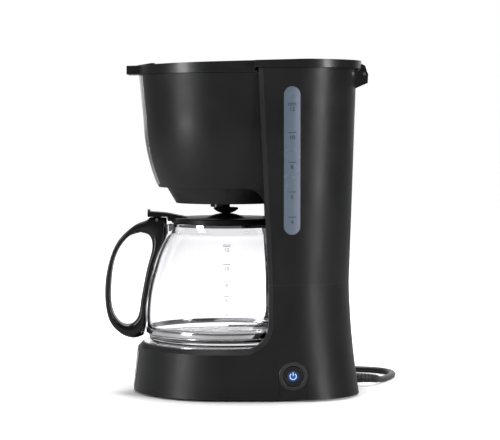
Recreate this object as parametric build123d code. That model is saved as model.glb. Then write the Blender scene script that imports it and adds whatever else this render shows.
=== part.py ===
from build123d import *
import os
from math import atan2, cos, degrees, pi, radians, sin, sqrt, tan

# Drip coffee maker, in millimetres. +Z is up, the front faces -Y, and the origin is the middle of
# the footprint on the table. The carafe, the filter basket and the warming plate share one axis.

# --- driving dimensions -------------------------------------------------------------------------
WALL = 2.5                    # moulded housing walls
FIT = 0.15                    # gap all round a piece set into a hole of the same body
GAP = 0.4                     # gap between pieces on different bodies
AXIS_Y = -8.5                 # carafe and basket axis

FEET_HEIGHT = 2.0
DECK_Z = 47.1                 # flat deck round the warming plate
EDGE_CHAMFER = 4.0            # round the deck and up both front edges of the tower
RIM_Z = DECK_Z - EDGE_CHAMFER
FRONT_WALL = 3.5              # deck and tower front, thicker because of that chamfer
SEAM_Z = 107.3                # joint between the lower and the upper housing
SOFFIT_Z = 195.0              # underside of the basket housing
COWL_TOP_Z = 301.4
TOWER_TOP_Z = 306.0
LID_TOP_Z = 314.0

# Plan outlines: height, half width, front, back and radius of the rear corners.
FOOT_PLAN = (FEET_HEIGHT, 88.5, -97.0, 117.5, 58.0)
RIM_PLAN = (RIM_Z, 86.8, -92.8, 111.9, 58.0)
SEAM_PLAN = (SEAM_Z, 85.5, -90.0, 107.8, 58.0)
TOP_PLAN = (TOWER_TOP_Z, 88.0, -90.0, 114.2, 58.0)

CHEEK_SEAM_Y = 31.5           # front edge of the tower at the seam
CHEEK_TOP_Y = 22.2            # and at its top
CHEEK_FILLET = 24.0           # sweep from the tower's front edge down to the base
RECESS_RADIUS = 80.5          # round recess in the tower behind the carafe

COWL_TOP_RADIUS = 82.2        # basket housing, a round cowl that narrows downwards
COWL_WAIST_RADIUS = 78.0
COWL_WAIST_Z = 259.0
COWL_LOW_RADIUS = 72.5
COWL_LOW_Z = 220.0
COWL_FOOT_RADIUS = 64.1
SOFFIT_HOLE_RADIUS = 57.5

PLATE_RADIUS = 70.3
PLATE_TOP_Z = 47.7
PLATE_THICKNESS = 1.5
RING_RADIUS = 78.5
RING_TOP_Z = 47.9

CARAFE_FOOT_Z = 48.3
GLASS_WALL = 2.2
GLASS_FOOT_RADIUS = 73.5
GLASS_BELLY_RADIUS = 75.6
GLASS_BELLY_Z = 66.0
GLASS_MID_RADIUS = 69.4
GLASS_MID_Z = 111.5
GLASS_SHOULDER_RADIUS = 55.8
GLASS_SHOULDER_Z = 147.7
GLASS_NECK_RADIUS = 50.6
GLASS_NECK_Z = 155.0
GLASS_RIM_Z = 160.7

HANDLE_WIDTH = 20.0
CARAFE_LID_RADIUS = 52.0
CARAFE_LID_Z = 160.9
FUNNEL_TOP_Z = 175.4
FUNNEL_RADIUS = 12.0
LID_PIVOT = (-74.4, 163.8)    # y and z of the carafe lid's hinge pin

BASKET_FOOT_Z = 179.8
BASKET_TOP_Z = 283.0
BASKET_WALL = 2.0
VALVE_RADIUS = 9.3
VALVE_LIFT = 3.0
VALVE_Y = -14.0               # the drip stop stands a little in front of the axis
VALVE_FOOT_Z = FUNNEL_TOP_Z + GAP

TANK_FOOT_Z = 118.0
TANK_TOP_Z = 285.0
TANK_WALL = 2.0
OUTLET = (28.0, 88.0)         # x and y of the tank's outlet; the hot riser mirrors it
HOSE_BORE = 4.6
HOSE_RADIUS = 7.0
HOSE_Z = 35.0
HEATER_END_Y = 50.0

GAUGE_Y = 52.9
GAUGE_WIDTH = 15.4
GAUGE_LOW_Z = 153.5
GAUGE_HIGH_Z = 289.0

BUTTON_Y = 54.0
BUTTON_Z = 23.8
BUTTON_RADIUS = 9.2
BUTTON_TRAVEL = 2.0
FACET_X = 86.9                # flat pad round the button
BEZEL_RADIUS = 13.2
BEZEL_BARREL = 11.8           # radius of the bezel's barrel, through the wall
BUTTON_FACE_X = 87.6

HINGE_Y = 121.5
HINGE_Z = 301.5
HINGE_PIN_RADIUS = 1.5
KNUCKLE_RADIUS = 3.4
KNUCKLE_HALF = 33.0
EAR_WIDTH = 6.0

CORD_RADIUS = 3.2
CORD_EXIT = (-26.0, 119.0, 8.0)   # where the boot clears the rear wall and starts to bend
BOOT_RADIUS = 4.8
BOOT_BEND = 22.0
BOOT_TURN = 62.0              # degrees towards -X
BOOT_DROP = 2.4
COIL_CENTRE = (-171.0, 33.0)
COIL_RADIUS = 35.2            # middle of its turns: one outside and one inside on the table, half on top


# --- helpers ------------------------------------------------------------------------------------
def rod(radius, low, high, x=0.0, y=0.0):
    """Upright cylinder."""
    return Pos(x, y, low) * Cylinder(radius, high - low, align=(Align.CENTER, Align.CENTER, Align.MIN))


def tube(radius, bore, low, high, x=0.0, y=0.0):
    """Upright tube."""
    return rod(radius, low, high, x, y) - rod(bore, low, high, x, y)


def cross_rod(radius, x_low, x_high, y, z):
    """Cylinder lying along X."""
    return Pos((x_low + x_high) / 2, y, z) * Rot(0, 90, 0) * Cylinder(radius, x_high - x_low)


def block(x_low, x_high, y_low, y_high, z_low, z_high):
    """Box given by its six faces."""
    middle = Pos((x_low + x_high) / 2, (y_low + y_high) / 2, (z_low + z_high) / 2)
    return middle * Box(x_high - x_low, y_high - y_low, z_high - z_low)


def spun(*edges):
    """Body of revolution about the carafe axis from edges drawn as (radius, height)."""
    face = make_face(Plane.XZ * Curve(edges))
    return Pos(0, AXIS_Y, 0) * revolve(face, Axis.Z, 360)


def spun_outline(*points):
    """The same from straight edges only."""
    return spun(*Polyline(*points, close=True).edges())


def side_cut(face, half_width=150.0):
    """Prism across the machine from a face drawn as (y, z)."""
    return extrude(Plane.YZ * face, amount=half_width, both=True)


def side_polygon(*points):
    """Prism across the machine from a straight-sided outline in (y, z)."""
    return side_cut(make_face(Polyline(*points, close=True)))


def plan_face(plan, inset=0.0):
    """Outline seen from above: round front, straight sides, rounded rear corners and a flat back."""
    height, half_width, front, back, corner = plan
    half_width = half_width - inset
    front = front + inset
    back = back - inset
    corner = corner - inset
    side_start = front + half_width
    diagonal = corner * sqrt(0.5)
    edges = [
        ThreePointArc((half_width, side_start), (0, front), (-half_width, side_start)),
        Line((-half_width, side_start), (-half_width, back - corner)),
        ThreePointArc(
            (-half_width, back - corner),
            (corner - half_width - diagonal, back - corner + diagonal),
            (corner - half_width, back),
        ),
        Line((corner - half_width, back), (half_width - corner, back)),
        ThreePointArc(
            (half_width - corner, back),
            (half_width - corner + diagonal, back - corner + diagonal),
            (half_width, back - corner),
        ),
        Line((half_width, back - corner), (half_width, side_start)),
    ]
    return Pos(0, 0, height) * make_face(Curve(edges))


def lower_body(inset=0.0):
    """Drafted outside of the lower housing, or the same set in by a wall."""
    return loft([plan_face(plan, inset) for plan in (FOOT_PLAN, RIM_PLAN, SEAM_PLAN)])


def upper_body(inset=0.0):
    """Drafted outside of the tower above the seam."""
    return loft([plan_face(plan, inset) for plan in (SEAM_PLAN, TOP_PLAN)], ruled=True)


def cowl_body(inset=0.0, low=SOFFIT_Z, high=COWL_TOP_Z):
    """Basket housing: round in front, straight-sided behind the axis, open into the tower."""
    edges = [
        Line((0, COWL_TOP_Z), (COWL_TOP_RADIUS - inset, COWL_TOP_Z)),
        Line((COWL_TOP_RADIUS - inset, COWL_TOP_Z), (COWL_WAIST_RADIUS - inset, COWL_WAIST_Z)),
        ThreePointArc(
            (COWL_WAIST_RADIUS - inset, COWL_WAIST_Z),
            (COWL_LOW_RADIUS - inset, COWL_LOW_Z),
            (COWL_FOOT_RADIUS - inset, SOFFIT_Z),
        ),
        Line((COWL_FOOT_RADIUS - inset, SOFFIT_Z), (0, SOFFIT_Z)),
        Line((0, SOFFIT_Z), (0, COWL_TOP_Z)),
    ]
    half = make_face(Plane.XZ * Curve(edges))
    round_part = Pos(0, AXIS_Y, 0) * revolve(half, Axis.Z, 360)
    straight = extrude(half, amount=CHEEK_SEAM_Y + WALL - AXIS_Y, dir=(0, 1, 0))
    straight = Pos(0, AXIS_Y, 0) * (straight + mirror(straight, Plane.YZ))
    return (round_part + straight) & block(-100, 100, -110, 60, low, high)


def chamfer_front(body, low):
    """Bevel the edges between a housing's side walls and its deck or tower front, above a height."""
    edges = []
    for edge in body.edges():
        size = edge.bounding_box().size
        runs_across = size.Y + size.Z < 1
        if edge.center().Z > low and edge.center().Y < CHEEK_SEAM_Y + 0.1 and not runs_across:
            edges.append(edge)
    return chamfer(edges, EDGE_CHAMFER)


def group_of(piece, places):
    """The same piece repeated at several places, as one group of solids."""
    return Compound(children=[Pos(*place) * piece for place in places])


# --- housings -----------------------------------------------------------------------------------
BACK = 130.0                  # anything behind the machine
FRONT = -110.0                # and in front of its housings
BASE_SCREWS = [(-40.7, -79.1), (40.7, -79.1), (-63.6, 99.0), (63.6, 99.0)]
SEAM_SCREWS = [(-63.2, 85.3), (63.2, 85.3)]
FEET = [(-50.0, -52.0), (50.0, -52.0), (-62.0, 72.0), (62.0, 72.0)]
BOSS_RADIUS = 4.5
SCREW_RADIUS = 1.5
HEAD_RADIUS = 3.0


def lower_housing():
    """Base and lower tower in one moulding, open underneath."""
    edge = CHEEK_SEAM_Y
    bend = CHEEK_FILLET
    profile = make_face(Curve([
        Line((FRONT, FEET_HEIGHT), (BACK, FEET_HEIGHT)),
        Line((BACK, FEET_HEIGHT), (BACK, SEAM_Z)),
        Line((BACK, SEAM_Z), (edge, SEAM_Z)),
        Line((edge, SEAM_Z), (edge, DECK_Z + bend)),
        ThreePointArc(
            (edge, DECK_Z + bend),
            (edge - bend + bend * sqrt(0.5), DECK_Z + bend - bend * sqrt(0.5)),
            (edge - bend, DECK_Z),
        ),
        Line((edge - bend, DECK_Z), (FRONT, DECK_Z)),
        Line((FRONT, DECK_Z), (FRONT, FEET_HEIGHT)),
    ]))
    outside = chamfer_front(lower_body() & side_cut(profile), DECK_Z - 0.1)
    outside -= rod(RECESS_RADIUS, DECK_Z, SEAM_Z, 0, AXIS_Y)

    under_deck = DECK_Z - FRONT_WALL
    room = side_polygon(
        (FRONT, FEET_HEIGHT), (BACK, FEET_HEIGHT), (BACK, SEAM_Z), (edge + FRONT_WALL, SEAM_Z),
        (edge + FRONT_WALL, under_deck), (FRONT, under_deck),
    )
    inside = lower_body(WALL) & room
    inside -= rod(RECESS_RADIUS + WALL, under_deck, SEAM_Z, 0, AXIS_Y)
    shell = outside - inside
    shell -= rod(PLATE_RADIUS + 1.2, under_deck, DECK_Z, 0, AXIS_Y)

    for x, y in BASE_SCREWS:
        shell += rod(BOSS_RADIUS, 5.0, 24.0, x, y) & lower_body(1.0)
    for x, y in SEAM_SCREWS:
        shell += rod(BOSS_RADIUS + 0.8, 92.0, SEAM_Z, x, y) & lower_body(1.0)
    for x, y in BASE_SCREWS:
        shell -= rod(SCREW_RADIUS + 0.1, 5.0, 20.0, x, y)
    for x, y in SEAM_SCREWS:
        shell -= rod(SCREW_RADIUS + 0.1, 92.0, SEAM_Z, x, y)

    facet_half = 14.0
    facet_top = 25.0
    facet = block(FACET_X, 100, BUTTON_Y - facet_half, BUTTON_Y + facet_half, 0, facet_top)
    facet += cross_rod(facet_half, FACET_X, 100, BUTTON_Y, facet_top)
    shell -= facet
    shell -= cross_rod(BEZEL_BARREL + FIT, 70, 100, BUTTON_Y, BUTTON_Z)
    shell -= boot_hole()
    return shell


WEB_SIDES = (58.5, 64.1)       # x of each web under the basket housing
WEB_START_Y = 10.0             # where its lower edge leaves the housing's edge
WEB_SWEEP = 18.0               # radius of that edge


def soffit_webs():
    """Webs that carry the basket housing's lower edge round and down into the tower, one on each side."""
    low = SOFFIT_Z - WEB_SWEEP
    near, far = WEB_SIDES
    web = block(near, far, WEB_START_Y, 60, low, SOFFIT_Z + 1)
    web -= cross_rod(WEB_SWEEP, near - 1, far + 1, WEB_START_Y, low)
    web &= rod(RECESS_RADIUS + 1, low - 1, SOFFIT_Z + 2, 0, AXIS_Y)
    return web + mirror(web, Plane.YZ)


def upper_housing():
    """Tower above the seam with the basket housing in front, in one moulding."""
    front_of_tower = side_polygon(
        (CHEEK_SEAM_Y, SEAM_Z), (BACK, SEAM_Z), (BACK, TOWER_TOP_Z), (CHEEK_TOP_Y, TOWER_TOP_Z)
    )
    tower_room = side_polygon(
        (CHEEK_SEAM_Y + FRONT_WALL, SEAM_Z), (BACK, SEAM_Z), (BACK, TOWER_TOP_Z),
        (CHEEK_TOP_Y + FRONT_WALL, TOWER_TOP_Z),
    )
    shell = chamfer_front(upper_body() & front_of_tower, SEAM_Z + 1) + cowl_body()
    shell -= (upper_body(WALL) & tower_room) - rod(RECESS_RADIUS + WALL, SEAM_Z, TOWER_TOP_Z, 0, AXIS_Y)
    shell -= rod(RECESS_RADIUS, SEAM_Z, SOFFIT_Z, 0, AXIS_Y)

    floor = SOFFIT_Z + WALL
    shell -= cowl_body(WALL, low=floor)
    shell -= rod(RECESS_RADIUS, floor, TOWER_TOP_Z, 0, AXIS_Y) & tower_room
    shell -= rod(SOFFIT_HOLE_RADIUS, SOFFIT_Z, floor, 0, AXIS_Y)
    shell -= rod(RECESS_RADIUS + WALL, TANK_TOP_Z, TOWER_TOP_Z, 0, AXIS_Y) & tower_room

    shell += soffit_webs()

    for x, y in SEAM_SCREWS:
        shell += rod(BOSS_RADIUS + 0.8, SEAM_Z, 117.0, x, y) & upper_body(1.0)
    for x, y in SEAM_SCREWS:
        shell -= rod(SCREW_RADIUS + 0.1, SEAM_Z, 115.0, x, y)

    return shell - gauge_slot(FIT)


def hinge_brackets():
    """Two ears on the back of the tower that hold the lid's pin."""
    side_view = side_polygon(
        (105.0, 284.5), (HINGE_Y + 3.0, 293.0), (HINGE_Y + KNUCKLE_RADIUS, HINGE_Z),
        (HINGE_Y + 1.5, HINGE_Z + 3.0), (HINGE_Y - 2.5, HINGE_Z + 3.0), (105.0, 303.0),
    )
    ears = []
    for middle in (-KNUCKLE_HALF - GAP - EAR_WIDTH / 2, KNUCKLE_HALF + GAP + EAR_WIDTH / 2):
        slab = block(middle - EAR_WIDTH / 2, middle + EAR_WIDTH / 2, 100, 140, 270, 310)
        ear = (side_view & slab) - upper_body(-0.02)
        ears.append(ear - cross_rod(HINGE_PIN_RADIUS + 0.05, -60, 60, HINGE_Y, HINGE_Z))
    return Compound(children=ears)


def gauge_slot(grow=0.0):
    """Prism of the level window's round-ended slot, through the right-hand wall."""
    radius = GAUGE_WIDTH / 2 + grow
    low = GAUGE_LOW_Z + GAUGE_WIDTH / 2
    high = GAUGE_HIGH_Z - GAUGE_WIDTH / 2
    slot = block(80, 95, GAUGE_Y - radius, GAUGE_Y + radius, low, high)
    slot += cross_rod(radius, 80, 95, GAUGE_Y, low)
    slot += cross_rod(radius, 80, 95, GAUGE_Y, high)
    return slot


def gauge_window():
    """Translucent level window, flush with the outside of the tower."""
    return gauge_slot() & (upper_body(0.3) - upper_body(WALL))


def base_plate():
    """Flat bottom cover."""
    plan = (3.0, FOOT_PLAN[1], FOOT_PLAN[2], FOOT_PLAN[3], FOOT_PLAN[4])
    plate = extrude(plan_face(plan, WALL + 0.9), amount=2.0)
    for x, y in BASE_SCREWS:
        plate -= rod(SCREW_RADIUS + 0.2, 3.0, 5.0, x, y)
    return plate - boot_hole()


def screw(head_low, tip):
    """Pan-head screw pointing up, at x = y = 0."""
    return rod(HEAD_RADIUS, head_low, head_low + 1.4) + rod(SCREW_RADIUS, head_low + 1.4, tip)


def rubber_feet():
    """Four round feet; their soles are the plane that the machine stands on."""
    foot = rod(8.0, 0.0, 3.0)
    return group_of(foot, FEET)


# --- steel trims --------------------------------------------------------------------------------
TRIM = 0.6


def trim_wedge(low, high, low_half, high_half):
    """Prism from front to back that gives a trim its tapering width."""
    corners = [(-low_half, low), (low_half, low), (high_half, high), (-high_half, high)]
    face = make_face(Polyline(*corners, close=True))
    return extrude(Plane.XZ * face, amount=120, dir=(0, -1, 0))


def basket_front_trim():
    """Brushed strip on the front of the basket housing."""
    strip = cowl_body(-TRIM) - cowl_body()
    return strip & trim_wedge(SOFFIT_Z + 3, COWL_TOP_Z - 1, 21.5, 26.5)


def base_front_trim():
    """Brushed strip on the front of the base, narrowing downwards."""
    strip = lower_body(-TRIM) - lower_body()
    return strip & trim_wedge(5.0, RIM_Z - 3.5, 15.0, 20.0)


# --- warming plate and heater -------------------------------------------------------------------
def warming_plate():
    """Round plate with a shallow dish."""
    under = PLATE_TOP_Z - PLATE_THICKNESS
    plate = rod(PLATE_RADIUS, under, PLATE_TOP_Z, 0, AXIS_Y)
    return plate - rod(PLATE_RADIUS - 7, PLATE_TOP_Z - 0.4, PLATE_TOP_Z, 0, AXIS_Y)


def plate_trim_ring():
    """Bright ring round the plate, lying on the deck."""
    return tube(RING_RADIUS, PLATE_RADIUS + 0.3, DECK_Z, RING_TOP_Z, 0, AXIS_Y)


HEATER_UNDER = 30.0


def u_path(half, end_y, front_y, z):
    """U shape open to the rear."""
    return Curve([
        Line((half, end_y, z), (half, front_y, z)),
        ThreePointArc((half, front_y, z), (0, front_y - half, z), (-half, front_y, z)),
        Line((-half, front_y, z), (-half, end_y, z)),
    ])


def heater_element():
    """Cast aluminium U with its heating and water tubes, and a spigot on each end."""
    under = HEATER_UNDER
    top = PLATE_TOP_Z - PLATE_THICKNESS
    half = OUTLET[0]
    front = -10.0
    outer = half + 5.5
    inner = half - 5.5
    ring = tube(outer, inner, under, top, 0, front) & block(-50, 50, -80, front, under, top)
    legs = block(inner, outer, front, HEATER_END_Y, under, top)
    legs += block(-outer, -inner, front, HEATER_END_Y, under, top)
    body = ring + legs
    for side in (-1, 1):
        spigot = Pos(side * half, HEATER_END_Y + 7, HOSE_Z) * Rot(90, 0, 0) * Cylinder(HOSE_BORE - 0.1, 14)
        bore = Pos(side * half, HEATER_END_Y + 2, HOSE_Z) * Rot(90, 0, 0) * Cylinder(3.0, 24)
        body = body + spigot - bore
    return body


def heater_bracket():
    """Strap that pulls the heater up against the plate."""
    return block(-42, 42, 0, 14, HEATER_UNDER - 2, HEATER_UNDER) - rod(2.2, 20, 40, 0, 7)


def heater_stud():
    """Stud welded under the plate, with the nut that holds the strap."""
    under = PLATE_TOP_Z - PLATE_THICKNESS
    return rod(2.0, HEATER_UNDER - 9, under, 0, 7) + rod(4.0, HEATER_UNDER - 5.5, HEATER_UNDER - 2, 0, 7)


def thermostat():
    """Snap-disc thermostat under the plate, between the heater's legs."""
    under = PLATE_TOP_Z - PLATE_THICKNESS
    return rod(8.0, under - 9, under, 0, 28) + block(-4, 4, 27, 29, under - 15, under - 9)


def thermal_fuses():
    """Two thermal fuses in their sleeves, hung under the strap's ends."""
    fuse = cross_rod(2.4, -9, 9, 0, HEATER_UNDER - 4.5)
    return group_of(fuse, [(-22, 7, 0), (22, 7, 0)])


# --- water path ---------------------------------------------------------------------------------
def hose_path(side, top_z):
    """From a heater spigot back and up, with one easy bend."""
    x = side * OUTLET[0]
    y = OUTLET[1]
    return FilletPolyline((x, HEATER_END_Y + 1, HOSE_Z), (x, y, HOSE_Z), (x, y, top_z), radius=18)


def hose(side, top_z):
    """Silicone hose on that path."""
    path = hose_path(side, top_z)
    start = Plane(origin=path @ 0, z_dir=path % 0)
    return sweep(start * Circle(HOSE_RADIUS), path) - sweep(start * Circle(HOSE_BORE), path)


def cold_water_hose():
    """Tank outlet to the heater."""
    return hose(1, TANK_FOOT_Z - 3)


def hot_water_hose():
    """Heater to the riser."""
    return hose(-1, 104.0)


def hose_clamps():
    """Spring clamps on both ends of both hoses."""
    lying = Rot(90, 0, 0) * (Cylinder(HOSE_RADIUS + 1.0, 5) - Cylinder(HOSE_RADIUS, 5))
    standing = Cylinder(HOSE_RADIUS + 1.0, 5) - Cylinder(HOSE_RADIUS, 5)
    x, y = OUTLET
    ends = [Pos(side * x, HEATER_END_Y + 7, HOSE_Z) * lying for side in (-1, 1)]
    ends += [Pos(x, y, TANK_FOOT_Z - 10) * standing, Pos(-x, y, 98) * standing]
    return Compound(children=ends)


def check_valve_cage():
    """Tube inside the cold hose that keeps the non-return ball."""
    x, y = OUTLET
    return tube(HOSE_BORE - 0.1, 3.2, 78, 92, x, y) + tube(3.3, 1.6, 78, 79.5, x, y)


def check_valve_ball():
    """Ball that lets water down to the heater and not back."""
    x, y = OUTLET
    return Pos(x, y, 82.2) * Sphere(2.6)


def water_tank():
    """Tank inside the tower, open at the top, with an outlet below and a well for the riser."""
    plan = (TANK_FOOT_Z, 80.5, -85.0, 103.0, 53.0)
    height = TANK_TOP_Z - TANK_FOOT_Z
    keep_out = RECESS_RADIUS + WALL + 0.6
    outer = extrude(plan_face(plan), amount=height) & block(-100, 100, 36, BACK, 0, 400)
    outer -= rod(keep_out, TANK_FOOT_Z, TANK_TOP_Z, 0, AXIS_Y)
    inner = extrude(plan_face(plan, TANK_WALL), amount=height)
    inner &= block(-100, 100, 36 + TANK_WALL, BACK, 0, 400)
    inner -= rod(keep_out + TANK_WALL, TANK_FOOT_Z, TANK_TOP_Z, 0, AXIS_Y)
    tank = outer - (inner & block(-100, 100, 0, BACK, TANK_FOOT_Z + TANK_WALL, 400))
    x, y = OUTLET
    tank += rod(8.0, TANK_FOOT_Z, TANK_TOP_Z, -x, y)
    tank -= rod(6.0, TANK_FOOT_Z, TANK_TOP_Z, -x, y)
    tank += rod(HOSE_BORE - 0.1, TANK_FOOT_Z - 20, TANK_FOOT_Z, x, y)
    tank -= rod(3.0, TANK_FOOT_Z - 20, TANK_FOOT_Z + TANK_WALL, x, y)
    return tank


def tank_outlet_seal():
    """Soft collar between the tank's floor and the hose."""
    return tube(8.5, HOSE_BORE, TANK_FOOT_Z - 3, TANK_FOOT_Z, *OUTLET)


SPRAY_LOW = 288.0
SPRAY_HIGH = 296.0


def riser_tube():
    """Hot-water tube through the tank's well up to the spray arm."""
    return tube(HOSE_BORE - 0.1, 3.2, 86.0, SPRAY_LOW, -OUTLET[0], OUTLET[1])


def spray_head():
    """Hollow arm from the riser to a shower disc over the coffee."""
    x, y = OUTLET
    reach = sqrt(x * x + (y - AXIS_Y) ** 2)
    turn = Rot(0, 0, 90 + degrees(atan2(x, y - AXIS_Y)))
    middle = Pos(-x / 2, (y + AXIS_Y) / 2, SPRAY_LOW)
    arm = middle * turn * extrude(SlotCenterToCenter(reach, 16), amount=SPRAY_HIGH - SPRAY_LOW)
    duct = Pos(0, 0, 2) * middle * turn * extrude(SlotCenterToCenter(reach, 9), amount=4)
    disc = rod(24.0, SPRAY_LOW - 1.5, SPRAY_HIGH, 0, AXIS_Y)
    chamber = rod(21.0, SPRAY_LOW + 0.5, SPRAY_HIGH - 2, 0, AXIS_Y)
    head = arm + disc - duct - chamber
    head -= rod(3.2, SPRAY_LOW - 1, SPRAY_LOW + 3, -x, y)
    for ring_radius, count in ((0, 1), (8, 6), (16, 10)):
        for step in range(count):
            angle = 2 * pi * step / count
            head -= rod(1.1, SPRAY_LOW - 2, SPRAY_LOW + 1,
                        ring_radius * cos(angle), AXIS_Y + ring_radius * sin(angle))
    return head


# --- filter and drip stop -----------------------------------------------------------------------
def filter_basket():
    """Funnel-bottomed basket standing in the soffit's hole on a shoulder."""
    foot = BASKET_FOOT_Z
    seat = SOFFIT_Z + WALL
    wall = BASKET_WALL
    basket = spun_outline(
        (0, foot), (47.5, foot), (SOFFIT_HOLE_RADIUS - 1.0, SOFFIT_Z), (SOFFIT_HOLE_RADIUS - 1.0, seat),
        (60.0, seat), (61.0, seat + 2.5), (67.0, BASKET_TOP_Z - 2), (69.5, BASKET_TOP_Z - 2),
        (69.5, BASKET_TOP_Z), (65.0, BASKET_TOP_Z), (59.0, seat + 3.5),
        (SOFFIT_HOLE_RADIUS - 3.0, seat + 1.5), (46.0, foot + wall), (0, foot + wall),
    )
    return basket - rod(VALVE_RADIUS + GAP, foot - 1, foot + 10, 0, VALVE_Y)


def drip_stop_valve():
    """Plunger that the carafe's lid pushes up to let the coffee through."""
    flange = BASKET_FOOT_Z + BASKET_WALL + GAP
    plunger = rod(VALVE_RADIUS, VALVE_FOOT_Z, flange, 0, VALVE_Y)
    plunger += rod(VALVE_RADIUS + 1.8, flange, flange + 1.6, 0, VALVE_Y)
    plunger += rod(3.0, flange + 1.6, flange + 6.0, 0, VALVE_Y)
    return plunger - rod(5.0, VALVE_FOOT_Z, VALVE_FOOT_Z + 2.5, 0, VALVE_Y)


def drip_stop_retainer():
    """Cap over the valve, fixed in the basket, that the spring pushes against."""
    floor = BASKET_FOOT_Z + BASKET_WALL
    cap = rod(14.5, floor, floor + 17, 0, VALVE_Y) - rod(12.5, floor, floor + 15, 0, VALVE_Y)
    cap -= block(-20, 20, VALVE_Y - 3, VALVE_Y + 3, floor, floor + 12)
    return cap


def coil_spring(radius, wire, length, turns):
    """Open spring along +Z from z = 0."""
    path = Helix(pitch=(length - 2 * wire) / turns, height=length - 2 * wire, radius=radius)
    start = Plane(origin=path @ 0, z_dir=path % 0)
    return Pos(0, 0, wire) * sweep(start * Circle(wire), path)


def drip_stop_spring():
    """Spring that closes the drip stop."""
    low = BASKET_FOOT_Z + BASKET_WALL + GAP + 1.7
    high = BASKET_FOOT_Z + BASKET_WALL + 14.8
    return Pos(0, VALVE_Y, low) * coil_spring(5.5, 0.5, high - low, 4)


def drip_stop_seal():
    """Soft ring under the plunger's flange."""
    floor = BASKET_FOOT_Z + BASKET_WALL
    return tube(VALVE_RADIUS + 1.8, VALVE_RADIUS, floor + 0.1, floor + GAP, 0, VALVE_Y)


def filter_frame():
    """Rim, foot ring and ribs of the permanent filter."""
    frame = tube(64.0, 60.5, 276.0, 279.0, 0, AXIS_Y) + tube(47.0, 44.2, 204.0, 207.0, 0, AXIS_Y)
    rib_face = make_face(Polyline((43.5, 204), (46.5, 204), (63.5, 277), (60.2, 277), close=True))
    rib = extrude(Plane.XZ * rib_face, amount=1.5, both=True)
    for step in range(6):
        frame += Pos(0, AXIS_Y, 0) * Rot(0, 0, 60 * step) * rib
    grip = tube(9.0, 6.5, 276.0, 279.0, 55.0, AXIS_Y) & block(44, 61, -30, 15, 270, 285)
    return frame + grip - filter_mesh()


def filter_mesh():
    """Fine mesh of the permanent filter, as a thin cone with a floor."""
    return spun_outline(
        (0, 204.2), (42.8, 204.2), (42.8, 205), (44.1, 207), (60.3, 276), (59.9, 276), (43.6, 207),
        (42.4, 204.8), (0, 204.8),
    )


# --- top lid ------------------------------------------------------------------------------------
LID_SIDE_LIP = 1.6
LID_FRONT_Z = COWL_TOP_Z + 0.3
LID_REAR_Z = TOWER_TOP_Z + 0.3
LID_STEP_Y = 19.0
LID_BACK_Y = 118.8
LID_WALL = 2.4
TAB_FRONT_Y = -102.0
TAB_HALF = 21.0


def lid_plan(inset, low, high):
    """Lid seen from above: a round front, and a wider rear over the tower."""
    radius = COWL_TOP_RADIUS + LID_SIDE_LIP - inset
    front = rod(radius, low, high, 0, AXIS_Y)
    front += block(-radius, radius, AXIS_Y, LID_STEP_Y + 8, low, high)
    rear_plan = (low, TOP_PLAN[1] + LID_SIDE_LIP, TOP_PLAN[2], LID_BACK_Y, TOP_PLAN[4])
    rear = extrude(plan_face(rear_plan, inset), amount=high - low)
    rear &= block(-100, 100, LID_STEP_Y + inset, BACK, low, high)
    return front + rear


def lid_profile(drop):
    """Side view of the lid's space, with its roof lowered by a wall."""
    return side_polygon(
        (-110, LID_FRONT_Z), (LID_STEP_Y, LID_FRONT_Z), (LID_STEP_Y, LID_REAR_Z), (BACK, LID_REAR_Z),
        (BACK, LID_TOP_Z - 0.4 - drop), (67, LID_TOP_Z - drop), (-110, LID_TOP_Z - 4.6 - drop),
    )


def top_lid():
    """One lid over the basket and the tank, hollow underneath, hinged at the rear."""
    slab = lid_plan(0, 300, 316)
    slab += block(-TAB_HALF, TAB_HALF, TAB_FRONT_Y, -70, 300, 316)
    lid = slab & lid_profile(0)
    lid -= lid_plan(LID_WALL, 300, 316) & lid_profile(LID_WALL)
    knuckle = cross_rod(KNUCKLE_RADIUS, -KNUCKLE_HALF, KNUCKLE_HALF, HINGE_Y, HINGE_Z)
    web = side_polygon(
        (HINGE_Y - 2.7, LID_REAR_Z + 5), (HINGE_Y + 1.0, LID_REAR_Z + 3), (HINGE_Y + KNUCKLE_RADIUS, HINGE_Z),
        (HINGE_Y - 2.5, HINGE_Z + 2.0), (HINGE_Y - 4.5, LID_REAR_Z + 0.5),
    ) & block(-KNUCKLE_HALF, KNUCKLE_HALF, 100, 140, 290, 320)
    lip = side_polygon(
        (-92, 309.4), (-92, 310.0), (-78.5, 312.3), (-75.5, 312.2), (-74.5, 309.4)
    ) & block(-TAB_HALF, TAB_HALF, -95, -70, 300, 320)
    lid = lid + knuckle + web + lip
    return lid - cross_rod(HINGE_PIN_RADIUS + 0.05, -60, 60, HINGE_Y, HINGE_Z)


def lid_liner():
    """Steam baffle clipped into the lid, stepped like the lid's own edge."""
    thick = 1.6
    front_low = LID_FRONT_Z + 1.2
    rear_low = LID_REAR_Z + 1.0
    stepped = side_polygon(
        (FRONT, front_low), (LID_STEP_Y, front_low), (LID_STEP_Y, rear_low), (BACK, rear_low),
        (BACK, rear_low + thick), (LID_STEP_Y - thick, rear_low + thick),
        (LID_STEP_Y - thick, front_low + thick), (FRONT, front_low + thick),
    )
    return stepped & lid_plan(LID_WALL + FIT, front_low, rear_low + thick)


def lid_hinge_pin():
    """Steel pin through the lid's knuckle and both ears."""
    half = KNUCKLE_HALF + GAP + EAR_WIDTH
    return cross_rod(HINGE_PIN_RADIUS, -half, half, HINGE_Y, HINGE_Z)


# --- power button -------------------------------------------------------------------------------

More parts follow.
